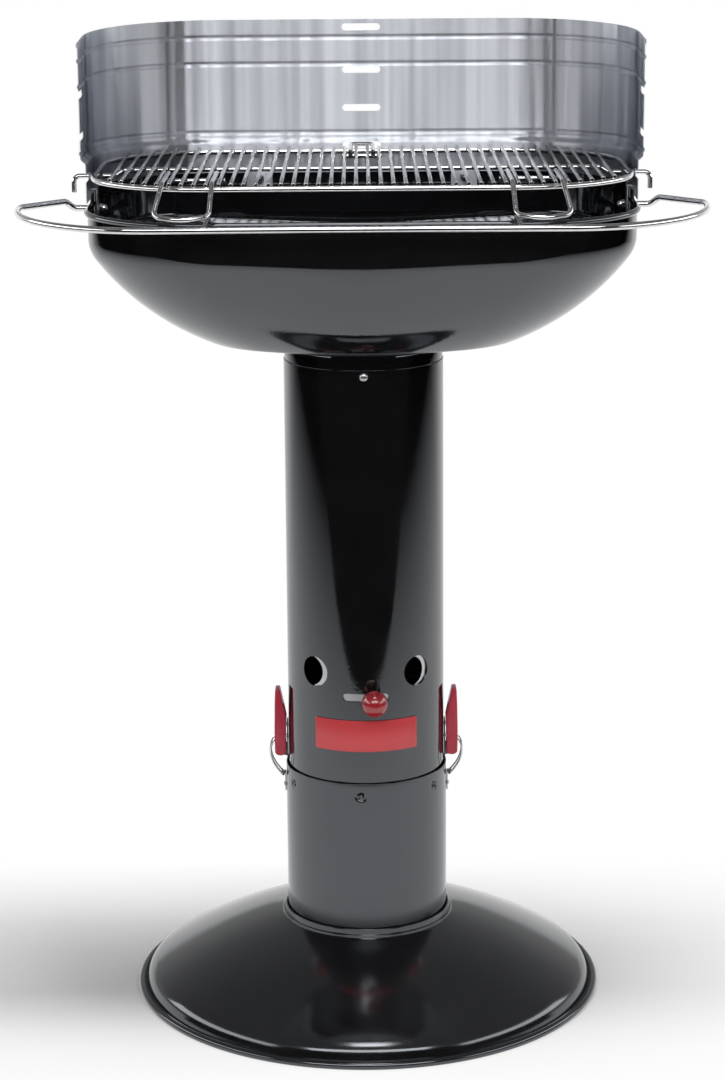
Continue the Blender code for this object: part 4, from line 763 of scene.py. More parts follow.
footShape = {
    "sheet": 0.0015, "boltHole": 0.0044, "potPlay": 0.0006, "steps": 224,
    # the ring round the pot, and the ledge outside it
    "ringTop": 0.0885, "ringWidth": 0.0024, "ringDrop": 0.0058, "ledge": 0.0048, "ledgeDrop": 0.0085,
    "ringBends": (0, 0.0010, 0.0016, 0.0022, 0.0006, 0.0014, 0.0006),
    # the dish, higher than a straight line by its crown
    "dishStart": 0.0080, "dishTop": -0.0095, "dishEnd": 0.0205, "dishEndZ": 0.0240, "crown": 0.0054,
    "dishPoints": 10,
    # the round shoulder, the groove and the rolled rim
    "shoulderIn": 0.0120, "shoulderZ": 0.0182, "shoulderPull": 0.82, "shoulderPoints": 14, "wallIn": 0.0097,
    "wallZ": 0.0098, "groove": 0.0088, "grooveZ": 0.0062, "grooveBend": 0.0006, "bead": 0.0041,
    "beadPoints": 14, "beadStart": 160, "lipIn": 0.0008, "lipZ": 0.0012, "innerBend": 0.0030,
    # the underside of the ring
    "backIn": 0.0010, "backDrop": 0.0150, "seatIn": 0.0016, "backBends": (0.0020, 0.0010, 0),
}


def makeFoot(shape):
    rim, top, sheet = high("base_plate").x, shape["ringTop"], shape["sheet"]
    seat = potFloor - gap
    inside = potRadius + shape["potPlay"]
    ringEnd, ledge = inside + shape["ringWidth"], inside + shape["ledge"]
    profile = [(shape["boltHole"], seat), (inside, seat), (inside, top), (ringEnd, top),
               (ringEnd, top - shape["ringDrop"]), (ledge, top - shape["ringDrop"]),
               (ledge, top - shape["ledgeDrop"])]
    radii = list(shape["ringBends"])

    steps = shape["dishPoints"]
    start = (inside + shape["dishStart"], top + shape["dishTop"])
    end = (rim - shape["dishEnd"], shape["dishEndZ"])
    dish = []
    for k in range(steps + 1):
        share = k / steps
        dish.append((start[0] + (end[0] - start[0]) * share,
                     start[1] + (end[1] - start[1]) * share + shape["crown"] * 4 * share * (1 - share)))
    profile += dish
    radii += [0.0] * len(dish)

    corner = Vector((rim - shape["shoulderIn"], shape["shoulderZ"]))
    wall = Vector((rim - shape["wallIn"], shape["wallZ"]))
    last = Vector(dish[-1])
    pull, steps = shape["shoulderPull"], shape["shoulderPoints"]
    pulls = [last, last.lerp(corner, pull), wall.lerp(corner, pull), wall]
    bead = shape["bead"]
    profile += [curvePoint(pulls, k / steps) for k in range(1, steps + 1)]
    profile += [(rim - shape["groove"], shape["grooveZ"])]
    profile += arc(rim - bead, bead, bead, shape["beadStart"], -90, shape["beadPoints"])
    profile += [(rim - shape["groove"] - shape["lipIn"], shape["lipZ"]),
                (rim - shape["shoulderIn"] - sheet, shape["shoulderZ"] - sheet)]
    radii += [0.0] * steps + [shape["grooveBend"]] + [0.0] * (shape["beadPoints"] + 1)
    radii += [shape["grooveBend"], shape["innerBend"]]

    profile += [(reach - sheet / 2, height - sheet) for reach, height in reversed(dish)]
    profile += [(inside - shape["backIn"], top - shape["backDrop"]), (inside - shape["seatIn"], seat - sheet),
                (shape["boltHole"], seat - sheet)]
    radii += [0.0] * len(dish) + list(shape["backBends"])
    foot = smooth(turnProfile("footDish", profile, shape["steps"], bends=radii, segments=4), 38)
    settle(foot, "footDish", "stand", footEnamel, "enamel", "base_plate")


makeFoot(footShape)
print("foot made")


# Ash pot with its pressed dimples

potShape = {
    "sheet": 0.0012, "corner": 0.0045, "innerCorner": 0.0033, "edge": 0.0004, "boltHole": 0.0044,
    "steps": 300,
    "dimpleDrop": 0.0140, "dimpleReach": 0.0044, "dimpleSeed": 0.0014, "dimpleDepth": 0.0040,
    "dimpleTurn": -4.0, "dimples": 6, "dimpleRows": 8,
}


def makePot(shape):
    inside = potRadius - shape["sheet"]
    dimpleZ = potTop - shape["dimpleDrop"]
    count = shape["dimpleRows"]
    past = 1.5 * (shape["dimpleReach"] + shape["dimpleSeed"])
    rows = [dimpleZ + past * k / count for k in range(-count, count + 1)]
    profile = [(shape["boltHole"], potFloor), (potRadius, potFloor)]
    profile += [(potRadius, height) for height in rows]
    profile += [(potRadius, potTop), (inside, potTop)]
    profile += [(inside, height) for height in reversed(rows)]
    profile += [(inside, potFloor + shape["sheet"]), (shape["boltHole"], potFloor + shape["sheet"])]
    bends = ([0, shape["corner"]] + [0] * len(rows) + [shape["edge"]] * 2 + [0] * len(rows)
             + [shape["innerCorner"], 0])
    pot = turnProfile("ashPot", profile, shape["steps"], bends=bends, segments=6)
    openMesh(pot)
    for k in range(shape["dimples"]):
        out = radial(radians(shape["dimpleTurn"]) + 2 * pi * k / shape["dimples"])
        spot = out * potRadius + Vector((0, 0, dimpleZ))
        pickPoints(lambda p: (p - spot).length < shape["dimpleSeed"])
        bpy.ops.transform.translate(value=-out * shape["dimpleDepth"], use_proportional_edit=True,
                                    proportional_edit_falloff="SMOOTH",
                                    proportional_size=shape["dimpleReach"])
    letGo()
    smooth(pot, 50)
    settle(pot, "ashPot", "stand", potEnamel, "enamel", "ash_pot")


makePot(potShape)
print("ash pot made")


# Column with its round vents and the knob's slot

columnShape = {
    "sheet": 0.0012, "steps": 256, "ventRadius": 0.0160, "ventTurn": 40.0, "slotHeight": 0.0088,
    "slotTurn": 17.0, "ventRise": 0.1262, "slotRise": 0.1022, "edge": 0.0004,
    # rows of points, which keep the shading even: from, apart, how many, and close to both ends
    "rows": ((0.09, 0.0045, 15), (0.16, 0.04, 7)), "endRows": (0.0012, 0.0030),
    "cutterDepth": 0.03, "slotInside": 0.92, "slotPull": 1.22, "slotRounds": 12, "slotSpans": 10,
}
ventZ = low("column_tube").z + columnShape["ventRise"]
slotZ = low("column_tube").z + columnShape["slotRise"]


def tubeProfile(outside, inside, bottom, top, rows):
    profile = [(outside, bottom)] + [(outside, height) for height in rows] + [(outside, top)]
    return profile + [(inside, top)] + [(inside, height) for height in reversed(rows)] + [(inside, bottom)]


def ventCutter(azimuth, height, radius):
    out = radial(azimuth)
    letGo()
    bpy.ops.mesh.primitive_cylinder_add(vertices=64, radius=radius, depth=columnShape["cutterDepth"],
                                        location=(0, 0, 0))
    return placed(bpy.context.object, out * columnRadius + Vector((0, 0, height)), out)


def slotCutter(height, shape):
    # the slot's outline wrapped inside the tube, then pulled out through its wall
    half = shape["slotHeight"] / 2
    reach = columnRadius * shape["slotInside"]
    end = radians(shape["slotTurn"]) - half / columnRadius
    rounds, spans, pull = shape["slotRounds"], shape["slotSpans"], shape["slotPull"]
    outline = []
    for sign in (1, -1):
        for k in range(rounds + 1):
            lean = -pi / 2 + pi * k / rounds
            outline.append((sign * (end + half * cos(lean) / columnRadius), sign * half * sin(lean)))
        outline += [(sign * end * (1 - 2 * k / spans), sign * half) for k in range(1, spans)]
    points = [radial(angle) * reach + Vector((0, 0, height + rise)) for angle, rise in outline]
    drawFace("slotCutter", points)
    bpy.ops.mesh.extrude_region_move()
    bpy.ops.transform.resize(value=(pull, pull, 1), center_override=(0, 0, height))
    return closeMesh()


def makeColumn(shape):
    bottom, top = low("column_tube").z, high("column_tube").z
    rows = [bottom + near for near in shape["endRows"]]
    rows += [bottom + start + apart * k for start, apart, count in shape["rows"] for k in range(count)]
    rows += [top - near for near in reversed(shape["endRows"])]
    profile = tubeProfile(columnRadius, columnRadius - shape["sheet"], bottom, top, rows)
    bends = ([shape["edge"]] + [0] * len(rows) + [shape["edge"]]) * 2
    column = turnProfile("columnTube", profile, shape["steps"], bends=bends, segments=3)
    turn = radians(shape["ventTurn"])
    vents = [ventCutter(sign * turn, ventZ, shape["ventRadius"]) for sign in (-1, 1)]
    cutAway(column, *vents, slotCutter(slotZ, shape))
    smooth(column, 30)
    settle(column, "columnTube", "stand", blackEnamel, "enamel", "column_tube")


makeColumn(columnShape)
print("column made")


# Air damper: sleeve inside the column, stem and ball knob

damperShape = {
    "sheet": 0.0010, "sleeveTurn": -4.8, "ventRadius": 0.0160, "stemTurn": 5.0, "steps": 192,
    "rowsHalf": 7, "rowsApart": 0.004,
    "knobRadius": 0.0136, "knobReach": 0.0205, "neckRadius": 0.0052, "neckLength": 0.0030,
    "neckEdge": 0.0008, "neckHole": 0.0034, "neckIn": 0.0004, "knobTurns": (-66, 90, 26),
}


def makeDamper(shape):
    bottom, top = low("damper_sleeve").z, high("damper_sleeve").z
    outside = high("damper_sleeve").x
    middle, half = (bottom + top) / 2, shape["rowsHalf"]
    rows = [middle + shape["rowsApart"] * k for k in range(-half, half + 1)]
    profile = tubeProfile(outside, outside - shape["sheet"], bottom, top, rows)
    sleeve = turnProfile("damperSleeve", profile, shape["steps"])
    lean = radians(columnShape["ventTurn"])
    turn = radians(shape["sleeveTurn"])
    cutAway(sleeve, *[ventCutter(turn + sign * lean, ventZ, shape["ventRadius"]) for sign in (-1, 1)])
    smooth(sleeve, 30)
    settle(sleeve, "damperSleeve", "damper", satinSheet, "sheet_steel", "damper_sleeve")

    out = radial(radians(shape["stemTurn"]))
    spot = out * (columnRadius + shape["knobReach"]) + Vector((0, 0, slotZ))
    letGo()
    size, neck, edge = shape["knobRadius"], shape["neckRadius"], shape["neckEdge"]
    ballFoot = -(size ** 2 - neck ** 2) ** 0.5
    foot = ballFoot - shape["neckLength"]
    profile = [(0, foot + edge), (shape["neckHole"], foot + edge), (neck - shape["neckIn"], foot),
               (neck, ballFoot - edge)]
    profile += arc(0, 0, size, *shape["knobTurns"])[:-1] + [(0, size)]
    knob = turnProfile("damperKnob", profile, 72, closed=False)
    placed(knob, spot, out)
    smooth(knob, 40)
    settle(knob, "damperKnob", "damper", knobRed, "knob_red", "damper_knob")


makeDamper(damperShape)
print("damper made")


# Plain red plate under the slot

labelShape = {"turn": 39.0, "sheet": 0.0008, "corner": 0.0016, "edge": 0.0002, "steps": 60}


def makeLabel(shape):
    bottom, top = low("label_plate").z, high("label_plate").z
    lean = radians(shape["turn"])
    reach = columnRadius + gap
    start = radial(-lean) * reach
    drawLine("labelPlate", [start + Vector((0, 0, bottom)), start + Vector((0, 0, top))])
    pickAll()
    bpy.ops.mesh.spin(steps=shape["steps"], angle=-2 * lean, center=(0, 0, 0), axis=(0, 0, 1))
    corners = [radial(sign * lean) * reach + Vector((0, 0, height))
               for sign in (-1, 1) for height in (bottom, top)]
    pickPoints(lambda p: any((p - corner).length < 1e-5 for corner in corners))
    bpy.ops.mesh.bevel(offset=shape["corner"], segments=4, affect="VERTICES")
    plate = closeMesh()
    face = plate.data.polygons[0]
    if face.normal.dot(face.center) < 0:
        turnFaces(plate)
    applied(plate, "SOLIDIFY", thickness=shape["sheet"], offset=1.0)
    roundEdges(plate, shape["edge"], 2, 60)
    smooth(plate, 35)
    settle(plate, "labelPlate", "stand", labelRed, "label_red", "label_plate")


makeLabel(labelShape)
print("label made")


# Toggle latches, made for the right side and mirrored

latchShape = {
    "pivot": (0.0910, 0.2595), "bailPivot": (0.0880, 0.2795), "crossbar": (0.08825, 0.2328),
    # the bracket: a plate on the column and two ears with their (in, up) corners from the ear's nose
    "plateHalfWidth": 0.0068, "plateSheet": 0.0013, "plateDrop": 0.0090, "plateRise": 0.0336,
    "plateEdge": 0.0003, "earSheet": 0.0015, "earSpread": 0.00375, "earReach": 0.0036, "earEdge": 0.0002,
    "earRoot": (-0.0055, 0.0075), "earBend": 0.003,
    "earCorners": ((0.0016, -0.0042), (0, -0.0010), (0, 0.0010), (0.0016, 0.0042)),
    # the lever: a channel that is open inwards, with a window for the bail
    "leverWidth": 0.0200, "leverWall": 0.0025, "leverLength": 0.0685, "leverEdge": 0.0009, "grip": 0.0520,
    "window": 0.0410, "tipDepth": 0.0052, "bottomRadius": 0.0060, "bottomDrop": 0.0040,
    "cutterReach": (0.03, 0.02),            # well outside the lever, aside and below
    # the bail, and the catch that it hooks under
    "bailRadius": 0.0012, "bailBulge": 0.0138, "bailHalf": 0.0059, "bailEnd": 0.0030, "bailCorner": 0.0022,
    "bailSteps": 16, "bailPulls": ((1.05, 0.10), (1.60, 0.55)),
    "catchSheet": 0.0010, "catchFace": 0.08665, "catchWidth": 0.0086, "catchEdge": 0.00015,
    "catchFoot": 0.0066, "catchLip": 0.0006, "catchBends": (0, 0, 0.0003, 0.0003, 0, 0, 0.0008, 0.0008),
    "rivetDrop": 0.0115,
}


def box(name, lowest, highest):
    letGo()
    lowest, highest = Vector(lowest), Vector(highest)
    bpy.ops.mesh.primitive_cube_add(size=1, location=(0, 0, 0))
    piece = bpy.context.object
    piece.name = name
    piece.scale = highest - lowest
    piece.location = (lowest + highest) / 2
    freeze()
    return piece


def makeLatch(shape):
    pivotX, pivotZ = shape["pivot"]
    width = shape["plateHalfWidth"]
    lowest = columnRadius + gap
    plate = box("latchPlate", (lowest, -width, pivotZ - shape["plateDrop"]),
                (lowest + shape["plateSheet"], width, pivotZ + shape["plateRise"]))
    roundEdges(plate, shape["plateEdge"], 2, 60)
    root = lowest + shape["plateSheet"] / 2
    nose = pivotX + shape["earReach"]
    outline = [(nose - back, pivotZ + up) for back, up in shape["earCorners"]]
    outline = [(root, pivotZ + shape["earRoot"][0])] + outline + [(root, pivotZ + shape["earRoot"][1])]
    ear = cutPlate("latchEar", outline, shape["earSheet"], bends=[0] + [shape["earBend"]] * 4 + [0])
    roundEdges(ear, shape["earEdge"], 2, 60)
    ears = [copied(ear, "latchEar", (0, sign * shape["earSpread"], 0)) for sign in (-1, 1)]
    bpy.data.objects.remove(ear)
    bracket = smooth(joined("latchBracketRight", [plate] + ears), 35)

    round0 = shape["bottomRadius"]
    flat = shape["bottomDrop"] / round0
    tip, length = round0 - shape["tipDepth"], shape["leverLength"]
    # from the round bottom up the outer side, over the tip and down the inner side
    outline = [(out, up * flat) for out, up in arc(0, 0, round0, 180, 360, 12)]
    outline += [(round0 + 0.0004, 0.0200), (round0 - 0.0002, shape["grip"]),
                (round0 - 0.0008, length - 0.0018), (round0 - 0.0014, length),
                (tip - 0.0004, length), (tip - 0.0012, length - 0.0020),
                (0.0022 - round0, 0.0500), (-round0 - 0.0004, 0.0370), (0.0004 - round0, 0.0200)]
    outline = [(pivotX + out, pivotZ + up) for out, up in outline]
    lever = cutPlate("latchLeverRight", outline, shape["leverWidth"])
    roundEdges(lever, shape["leverEdge"], 3, 30)
    half = shape["leverWidth"] / 2 - shape["leverWall"]
    aside, below = shape["cutterReach"]
    channel = box("channel", (pivotX - aside, -half, pivotZ - below),
                  (pivotX + round0 - shape["leverWall"], half, pivotZ + shape["grip"]))
    window = box("window", (pivotX, -half, pivotZ - below),
                 (pivotX + aside, half, pivotZ + shape["window"]))
    cutAway(lever, channel, window)
    smooth(lever, 35)

    bailX, bailZ = shape["bailPivot"]
    crossX, crossZ = shape["crossbar"]
    bulge, drop = shape["bailBulge"], bailZ - crossZ
    pulls = [(bailX + out * bulge, bailZ - down * drop) for out, down in shape["bailPulls"]]
    pulls = [(bailX, bailZ)] + pulls + [(crossX, crossZ)]
    steps = shape["bailSteps"]
    route = [curvePoint(pulls, k / steps) for k in range(steps + 1)]
    side, end, corner = shape["bailHalf"], shape["bailEnd"], shape["bailCorner"]
    path = [(bailX, side + end, bailZ)] + [(x, side, z) for x, z in route]
    path += [(x, -side, z) for x, z in reversed(route)] + [(bailX, -side - end, bailZ)]
    bends = [0, corner] + [0] * (steps - 1) + [corner]
    bail = bendWire("latchBailRight", path, shape["bailRadius"], bends + bends[::-1], 4, 4)

    face, sheet, lipDepth = shape["catchFace"], shape["catchSheet"], shape["catchLip"]
    wall = face - sheet
    under = crossZ + shape["bailRadius"] + gap
    lip = crossX + shape["bailRadius"] + lipDepth
    foot = crossZ - shape["rivetDrop"] - shape["catchFoot"]
    outline = [(wall, foot), (face, foot), (face, under), (lip, under), (lip, under - lipDepth),
               (lip + sheet, under - lipDepth), (lip + sheet, under + sheet), (wall, under + sheet)]
    catch = cutPlate("latchCatchRight", outline, shape["catchWidth"], bends=shape["catchBends"], segments=3)
    roundEdges(catch, shape["catchEdge"], 2, 60)
    smooth(catch, 35)

    parts = (("bracket", bracket, "stand", darkPlate, "sheet_steel"),
             ("lever", lever, "lever_{}", leverRed, "lever_red"),
             ("bail", bail, "bail_{}", brightWire, "chrome"),
             ("catch", catch, "stand", darkPlate, "sheet_steel"))
    for word in ("right", "left"):
        for part, made, body, finish, slotName in parts:
            name = "latch" + part.capitalize() + word.capitalize()
            piece = made if word == "right" else mirrored(made, name)
            settle(piece, name, body.format(word), finish, slotName, "latch_" + part + "_" + word)


makeLatch(latchShape)
print("latches made")


# Bowl: one sheet from its collar and rim bead down to the neck inside the column

bowlShape = {
    "shoulder": 0.0350, "shoulderTurn": 35.0, "belly": 0.2580, "bellyTurn": 66.0, "wallHeight": 0.0265,
    "neckShow": 0.0200, "neckRound": 0.0090, "neckLength": 0.0150, "neckOutside": 0.0805, "cornerSteps": 28,
    "waistIn": 0.0005, "waistRise": 0.0012, "skirt": 0.012, "edgeCuts": ((0.20, 22), (0.05, 7)),
}


def bowlSection(shape):
    # (reach, height) from the collar's edge down to the neck's end
    shoulderZ = rimZ - shape["wallHeight"]
    shoulder, belly = shape["shoulder"], shape["belly"]
    turn = radians(shape["shoulderTurn"])
    bellyX = wallX - shoulder + (shoulder - belly) * cos(turn)
    bellyZ = shoulderZ + (belly - shoulder) * sin(turn)
    section = [(wallX, collarTop), (wallX, (collarTop + rimZ + beadRadius) / 2)]
    section += arc(wallX, rimZ, beadRadius, 90, -90, 10)
    section += [(wallX, shoulderZ + shape["skirt"]), (wallX, shoulderZ)]
    section += arc(wallX - shoulder, shoulderZ, shoulder, 0, -shape["shoulderTurn"], 8)[1:]
    section += arc(bellyX, bellyZ, belly, -shape["shoulderTurn"], -shape["bellyTurn"], 34)[1:]
    lastReach, lastZ = section[-1]
    rounding, neckTop = shape["neckRound"], columnTop + shape["neckShow"]
    waist = neckRadius - rounding - shape["waistIn"]
    pull = (lastReach - (lastZ - neckTop) * tan(radians(shape["bellyTurn"])), neckTop)
    pulls = [section[-1], pull, pull, (waist, neckTop + shape["waistRise"])]
    section += [curvePoint(pulls, k / 10) for k in range(1, 11)]
    section += arc(neckRadius - rounding, neckTop - rounding, rounding, 90, 0, 8)
    section += [(neckRadius, columnTop + gap), (shape["neckOutside"], columnTop + gap),
                (shape["neckOutside"], columnTop - shape["neckLength"])]
    return section


def makeBowl(shape):
    section = bowlSection(shape)
    drawRing("fireBowl", wallX, wallY, wallCorner, collarTop, shape["cornerSteps"])
    divideLong(*shape["edgeCuts"])
    lastShare, lastZ = 1.0, collarTop
    for reach, height in section[1:]:
        bpy.ops.mesh.extrude_edges_move(TRANSFORM_OT_translate={"value": (0, 0, height - lastZ)})
        share = min(1.0, max(0.0, (reach - neckRadius) / (wallX - neckRadius)))
        if share < lastShare:
            bpy.ops.transform.tosphere(value=1 - share / lastShare)
        ring = pickedPoints()
        nowX, nowY = max(p.x for p in ring), max(p.y for p in ring)
        reachY = neckRadius + (wallY - neckRadius) * share + max(0.0, reach - wallX)
        if share == 0:
            reachY = reach
        bpy.ops.transform.resize(value=(reach / nowX, reachY / nowY, 1), center_override=(0, 0, height))
        lastShare, lastZ = share, height
    rimTop = rimZ + beadRadius
    pickPoints(lambda p: p.z > rimTop + 0.0001 and p.y < collarFront - 0.002)
    bpy.ops.transform.resize(value=(1, 1, 0), center_override=(0, 0, rimTop))
    bowl = closeMesh(merge=0.00002)
    applied(bowl, "SOLIDIFY", thickness=bowlSheet, offset=-1.0, use_even_offset=True,
            use_quality_normals=True)
    smooth(bowl, 40)
    settle(bowl, "fireBowl", "stand", blackEnamel, "enamel", "bowl")


makeBowl(bowlShape)
print("bowl made")


# Windscreen: one bent sheet with beads, a hem, slots and tabs

screenShape = {
    "offset": 0.0032, "sheet": 0.0009, "height": 0.1700, "flare": 0.0048, "flareRise": 0.0420,
    "drop": 0.0100, "beads": (0.0502, 0.1232, 0.1512), "beadDepth": 0.0014, "beadHalf": 0.0030,
    "hemHeight": 0.0045, "hemThickness": 0.0010, "slotWidth": 0.0410, "slotHeight": 0.0074, "corner": 0.1292,
    "slotRises": (0.0, 0.0395, 0.0800, 0.1250),
    "notchLevels": 3, "notchStart": -0.02, "notchEnd": 0.0133, "cutterDepth": 0.03, "notchDepth": 0.04,
    "tabSheet": 0.0012, "tabX": 0.1100, "tabWidth": 0.0280, "sideTabWidth": 0.0210, "tabDrop": 0.0155,
    "sideTabDrop": 0.008, "tabBend": 0.0003, "tabOuterBend": 0.0018, "tabEdge": 0.0002,
    "edgeCuts": ((0.20, 26), (0.05, 8)),
    # rows of points: on the skirt, each side of the flare, and round the beads
    "skirtRows": (0.0, 0.012, 0.024), "flareRows": (0.0040, 0.003, 0.0018), "flareSoft": 0.0004,
    "beadSteps": 8, "beadBorder": 0.0008, "beadPower": 1.2, "wideGap": 0.02,
    "hemGap": 0.0001, "hemRows": (0, 0.0015, 0.0030), "hemTop": 0.00002, "hemEdge": 0.0004,
}


def screenSection(shape):
    # (offset, rise) of the sheet's inner face: skirt, flare, three beads
    flare, bend, soft = shape["flare"], shape["flareRise"], shape["flareSoft"]
    far, near, turn = shape["flareRows"]
    section = [(0.0, rise) for rise in shape["skirtRows"] + (bend - far, bend - near)]
    section += [(soft, bend - turn), (flare / 2, bend), (flare - soft, bend + turn), (flare, bend + near),
                (flare, bend + far)]
    last = bend + far
    steps = shape["beadSteps"]
    border = shape["beadBorder"]            # flat strip each side of a bead, which keeps its shading narrow
    for rise in shape["beads"]:
        start = rise - shape["beadHalf"]
        if start - last > shape["wideGap"]:
            section += [(flare, last + (start - border - last) * k / 3) for k in (1, 2)]
        section.append((flare, start - border))
        for k in range(steps + 1):
            share = k / steps
            section.append((flare + shape["beadDepth"] * sin(pi * share) ** shape["beadPower"],
                            rise + shape["beadHalf"] * (2 * share - 1)))
        last = rise + shape["beadHalf"] + border
        section.append((flare, last))
    return section + [(flare, shape["height"])]


def screenBand(name, section, shape, bottom, thickness):
    # the plan drawn at the bottom, pulled up level by level, its top sloping down to the front
    halfX, halfY = wallX + shape["offset"], wallY + shape["offset"]
    depth = halfY - collarFront
    lastOff, lastRise = section[0]
    wide, deep = halfX + lastOff, halfY + lastOff
    floor = bottom + lastRise
    plan = [(-wide, collarFront, floor), (-wide, deep, floor), (wide, deep, floor),
            (wide, collarFront, floor)]
    band = drawLine(name, plan)
    roundCorners(plan, shape["corner"] + lastOff, 32)
    divideLong(*shape["edgeCuts"])
    lastTilt = 0.0
    first = True
    for off, rise in section:
        if not first:
            bpy.ops.mesh.extrude_edges_move(TRANSFORM_OT_translate={"value": (0, 0, rise - lastRise)})
            bpy.ops.transform.resize(value=((halfX + off) / (halfX + lastOff),
                                            (depth + off) / (depth + lastOff), 1),
                                     center_override=(0, collarFront, 0))
        share = max(0.0, (rise - shape["beads"][0]) / (shape["height"] - shape["beads"][0]))
        tilt = shape["drop"] * share / depth
        if tilt != lastTilt:
            bpy.ops.transform.rotate(value=lastTilt - tilt, orient_axis="X",
                                     center_override=(0, halfY + off + thickness, bottom + rise))
        lastOff, lastRise, lastTilt, first = off, rise, tilt, False
    closeMesh(merge=0.00001)
    middle = sum((Vector(corner) for corner in band.bound_box), Vector()) / 8
    rear = max(band.data.polygons, key=lambda face: face.center.y - abs(face.center.x - middle.x))
    if rear.normal.y < 0:
        turnFaces(band)
    return applied(band, "SOLIDIFY", thickness=thickness, offset=1.0)


def roundedCutter(name, center, halfLength, halfHeight, depth, along="x"):
    # a cutter with round ends, its length across X or Y
    letGo()
    bpy.ops.mesh.primitive_plane_add(size=2, location=(0, 0, 0))
    piece = bpy.context.object
    piece.name = name
    openMesh(piece)
    bpy.ops.transform.resize(value=(halfLength, halfHeight, 1))
    bpy.ops.mesh.bevel(offset=halfHeight * 0.999, segments=8, affect="VERTICES")
    pickAll()
    bpy.ops.transform.translate(value=(0, 0, -depth / 2))
    bpy.ops.mesh.extrude_region_move(TRANSFORM_OT_translate={"value": (0, 0, depth)})
    closeMesh()
    turn = Matrix(((1, 0, 0), (0, 0, -1), (0, 1, 0))) if along == "x" else \
        Matrix(((0, 0, 1), (1, 0, 0), (0, 1, 0)))
    take(piece)
    piece.matrix_world = Matrix.Translation(center) @ turn.to_4x4()
    freeze()
    return piece


def makeScreen(shape):
    bottom = rimZ + beadRadius + gap        # the skirt stands on the bead
    halfX, halfY = wallX + shape["offset"], wallY + shape["offset"]
    screen = screenBand("windscreen", screenSection(shape), shape, bottom, shape["sheet"])
    hemOff = shape["flare"] + shape["sheet"] + shape["hemGap"]
    hemRises = [shape["height"] - shape["hemHeight"] + rise for rise in shape["hemRows"]]
    hemRises.append(shape["height"] - shape["hemTop"])
    hem = screenBand("hem", [(hemOff, rise) for rise in hemRises], shape, bottom, shape["hemThickness"])
    roundEdges(hem, shape["hemEdge"], 2, 60)
    cutters = []
    for level, slotRise in enumerate(shape["slotRises"]):
        cutters.append(roundedCutter("slot", (0, halfY, legZ + slotRise), shape["slotWidth"] / 2,
                                     shape["slotHeight"] / 2, shape["cutterDepth"]))
        if level < shape["notchLevels"]:
            start, end = collarFront + shape["notchStart"], shape["notchEnd"]
            for side in (-1, 1):
                spot = (side * halfX, (start + end) / 2, hookZ + level * levelStep)
                cutters.append(roundedCutter("notch", spot, (end - start) / 2, shape["slotHeight"] / 2,
                                             shape["notchDepth"], "y"))
    cutAway(screen, *cutters)
    wall = wallY - bowlSheet - gap
    skirt = halfY + shape["sheet"] / 2
    top = collarTop + gap
    sheet = shape["tabSheet"]

    def tabOutline(lowest, wall, skirt):
        return [(wall - sheet, lowest), (wall, lowest), (wall, top), (skirt, top), (skirt, top + sheet),
                (wall - sheet, top + sheet)]

    bends = [shape["tabBend"], shape["tabBend"], 0, 0, 0, shape["tabOuterBend"]]
    rear = cutPlate("rearTab", tabOutline(collarTop - shape["tabDrop"], wall, skirt), shape["tabWidth"],
                    "x", bends)
    wallSide = wallX - bowlSheet - gap
    outline = tabOutline(railEndZ - shape["sideTabDrop"], wallSide, halfX + shape["sheet"] / 2)
    side = cutPlate("sideTab", outline, shape["sideTabWidth"], "y", bends)
    tabs = [copied(rear, "rearTab", (shape["tabX"], 0, 0)), copied(rear, "rearTab", (-shape["tabX"], 0, 0))]
    moved = copied(side, "sideTab", (0, railEndY, 0))
    tabs += [moved, mirrored(moved, "sideTab")]
    bpy.data.objects.remove(rear)
    bpy.data.objects.remove(side)
    for tab in tabs:
        roundEdges(tab, shape["tabEdge"], 2, 60)
    screen = joined("windscreen", [screen, hem] + tabs)
    smooth(screen, 38)
    settle(screen, "bentWindscreen", "stand", brushedSheet, "sheet_steel", "windscreen")


makeScreen(screenShape)
print("windscreen made")


# Cooking grate: frame wire, bars, side wire, handles and tongue

grateShape = {
    "barPitch": 0.0120, "barCount": 42, "barOver": 0.0012, "barSides": 12,
    "sideWireX": 0.2420, "sideWireOut": 0.009, "sideWireY": 0.0100,
    # handles and tongue are carried by cross bars; their places are counted in bars from the middle
    "crossOver": 0.009, "crossIn": 0.0820, "legOver": 0.0190, "handleBars": (12, 16), "handleDrop": 0.0278,
    "handleBends": (0, 0.006, 0.006, 0.0075, 0.03, 0.0075, 0.006, 0.006, 0),
    "handleOut": (0.003, 0.029, 0.039), "handleDip": 0.001, "handleLean": 0.0021, "handleFlare": 0.007,
    "handleSag": 0.003,
    "tongueBars": 1, "tongueLength": 0.070, "tongueCross": 0.012, "tongueBend": 0.0070,
}


def edgeReach(halfX, halfY, corner, x):
    # how far in Y a rounded rectangle reaches at x
    past = abs(x) - (halfX - corner)
    if past <= 0:
        return halfY
    return halfY - corner + (corner ** 2 - past ** 2) ** 0.5


def cutBar(name, length, radius, sides, turn=(pi / 2, 0, 0)):
    # a straight cut wire, along Y unless turned otherwise, its ends a little rounded
    letGo()
    bpy.ops.mesh.primitive_cylinder_add(vertices=sides, radius=radius, depth=length, rotation=turn,
                                        location=(0, 0, 0))
    bar = bpy.context.object
    freeze()
    roundEdges(bar, radius * wireEnd, 2, 60)
    bar.name = name
    return bar


def laidBar(master, along, pull, place):
    # a copy with both ends pulled along it, moved to its place
    bar = copied(master, master.name)
    openMesh(bar)
    for sign in (-1, 1):
        pickPoints(lambda p: p.dot(along) * sign > 0)
        bpy.ops.transform.translate(value=along * (sign * pull))
    pickAll()
    bpy.ops.transform.translate(value=place)
    letGo()
    return smooth(bar, 50)


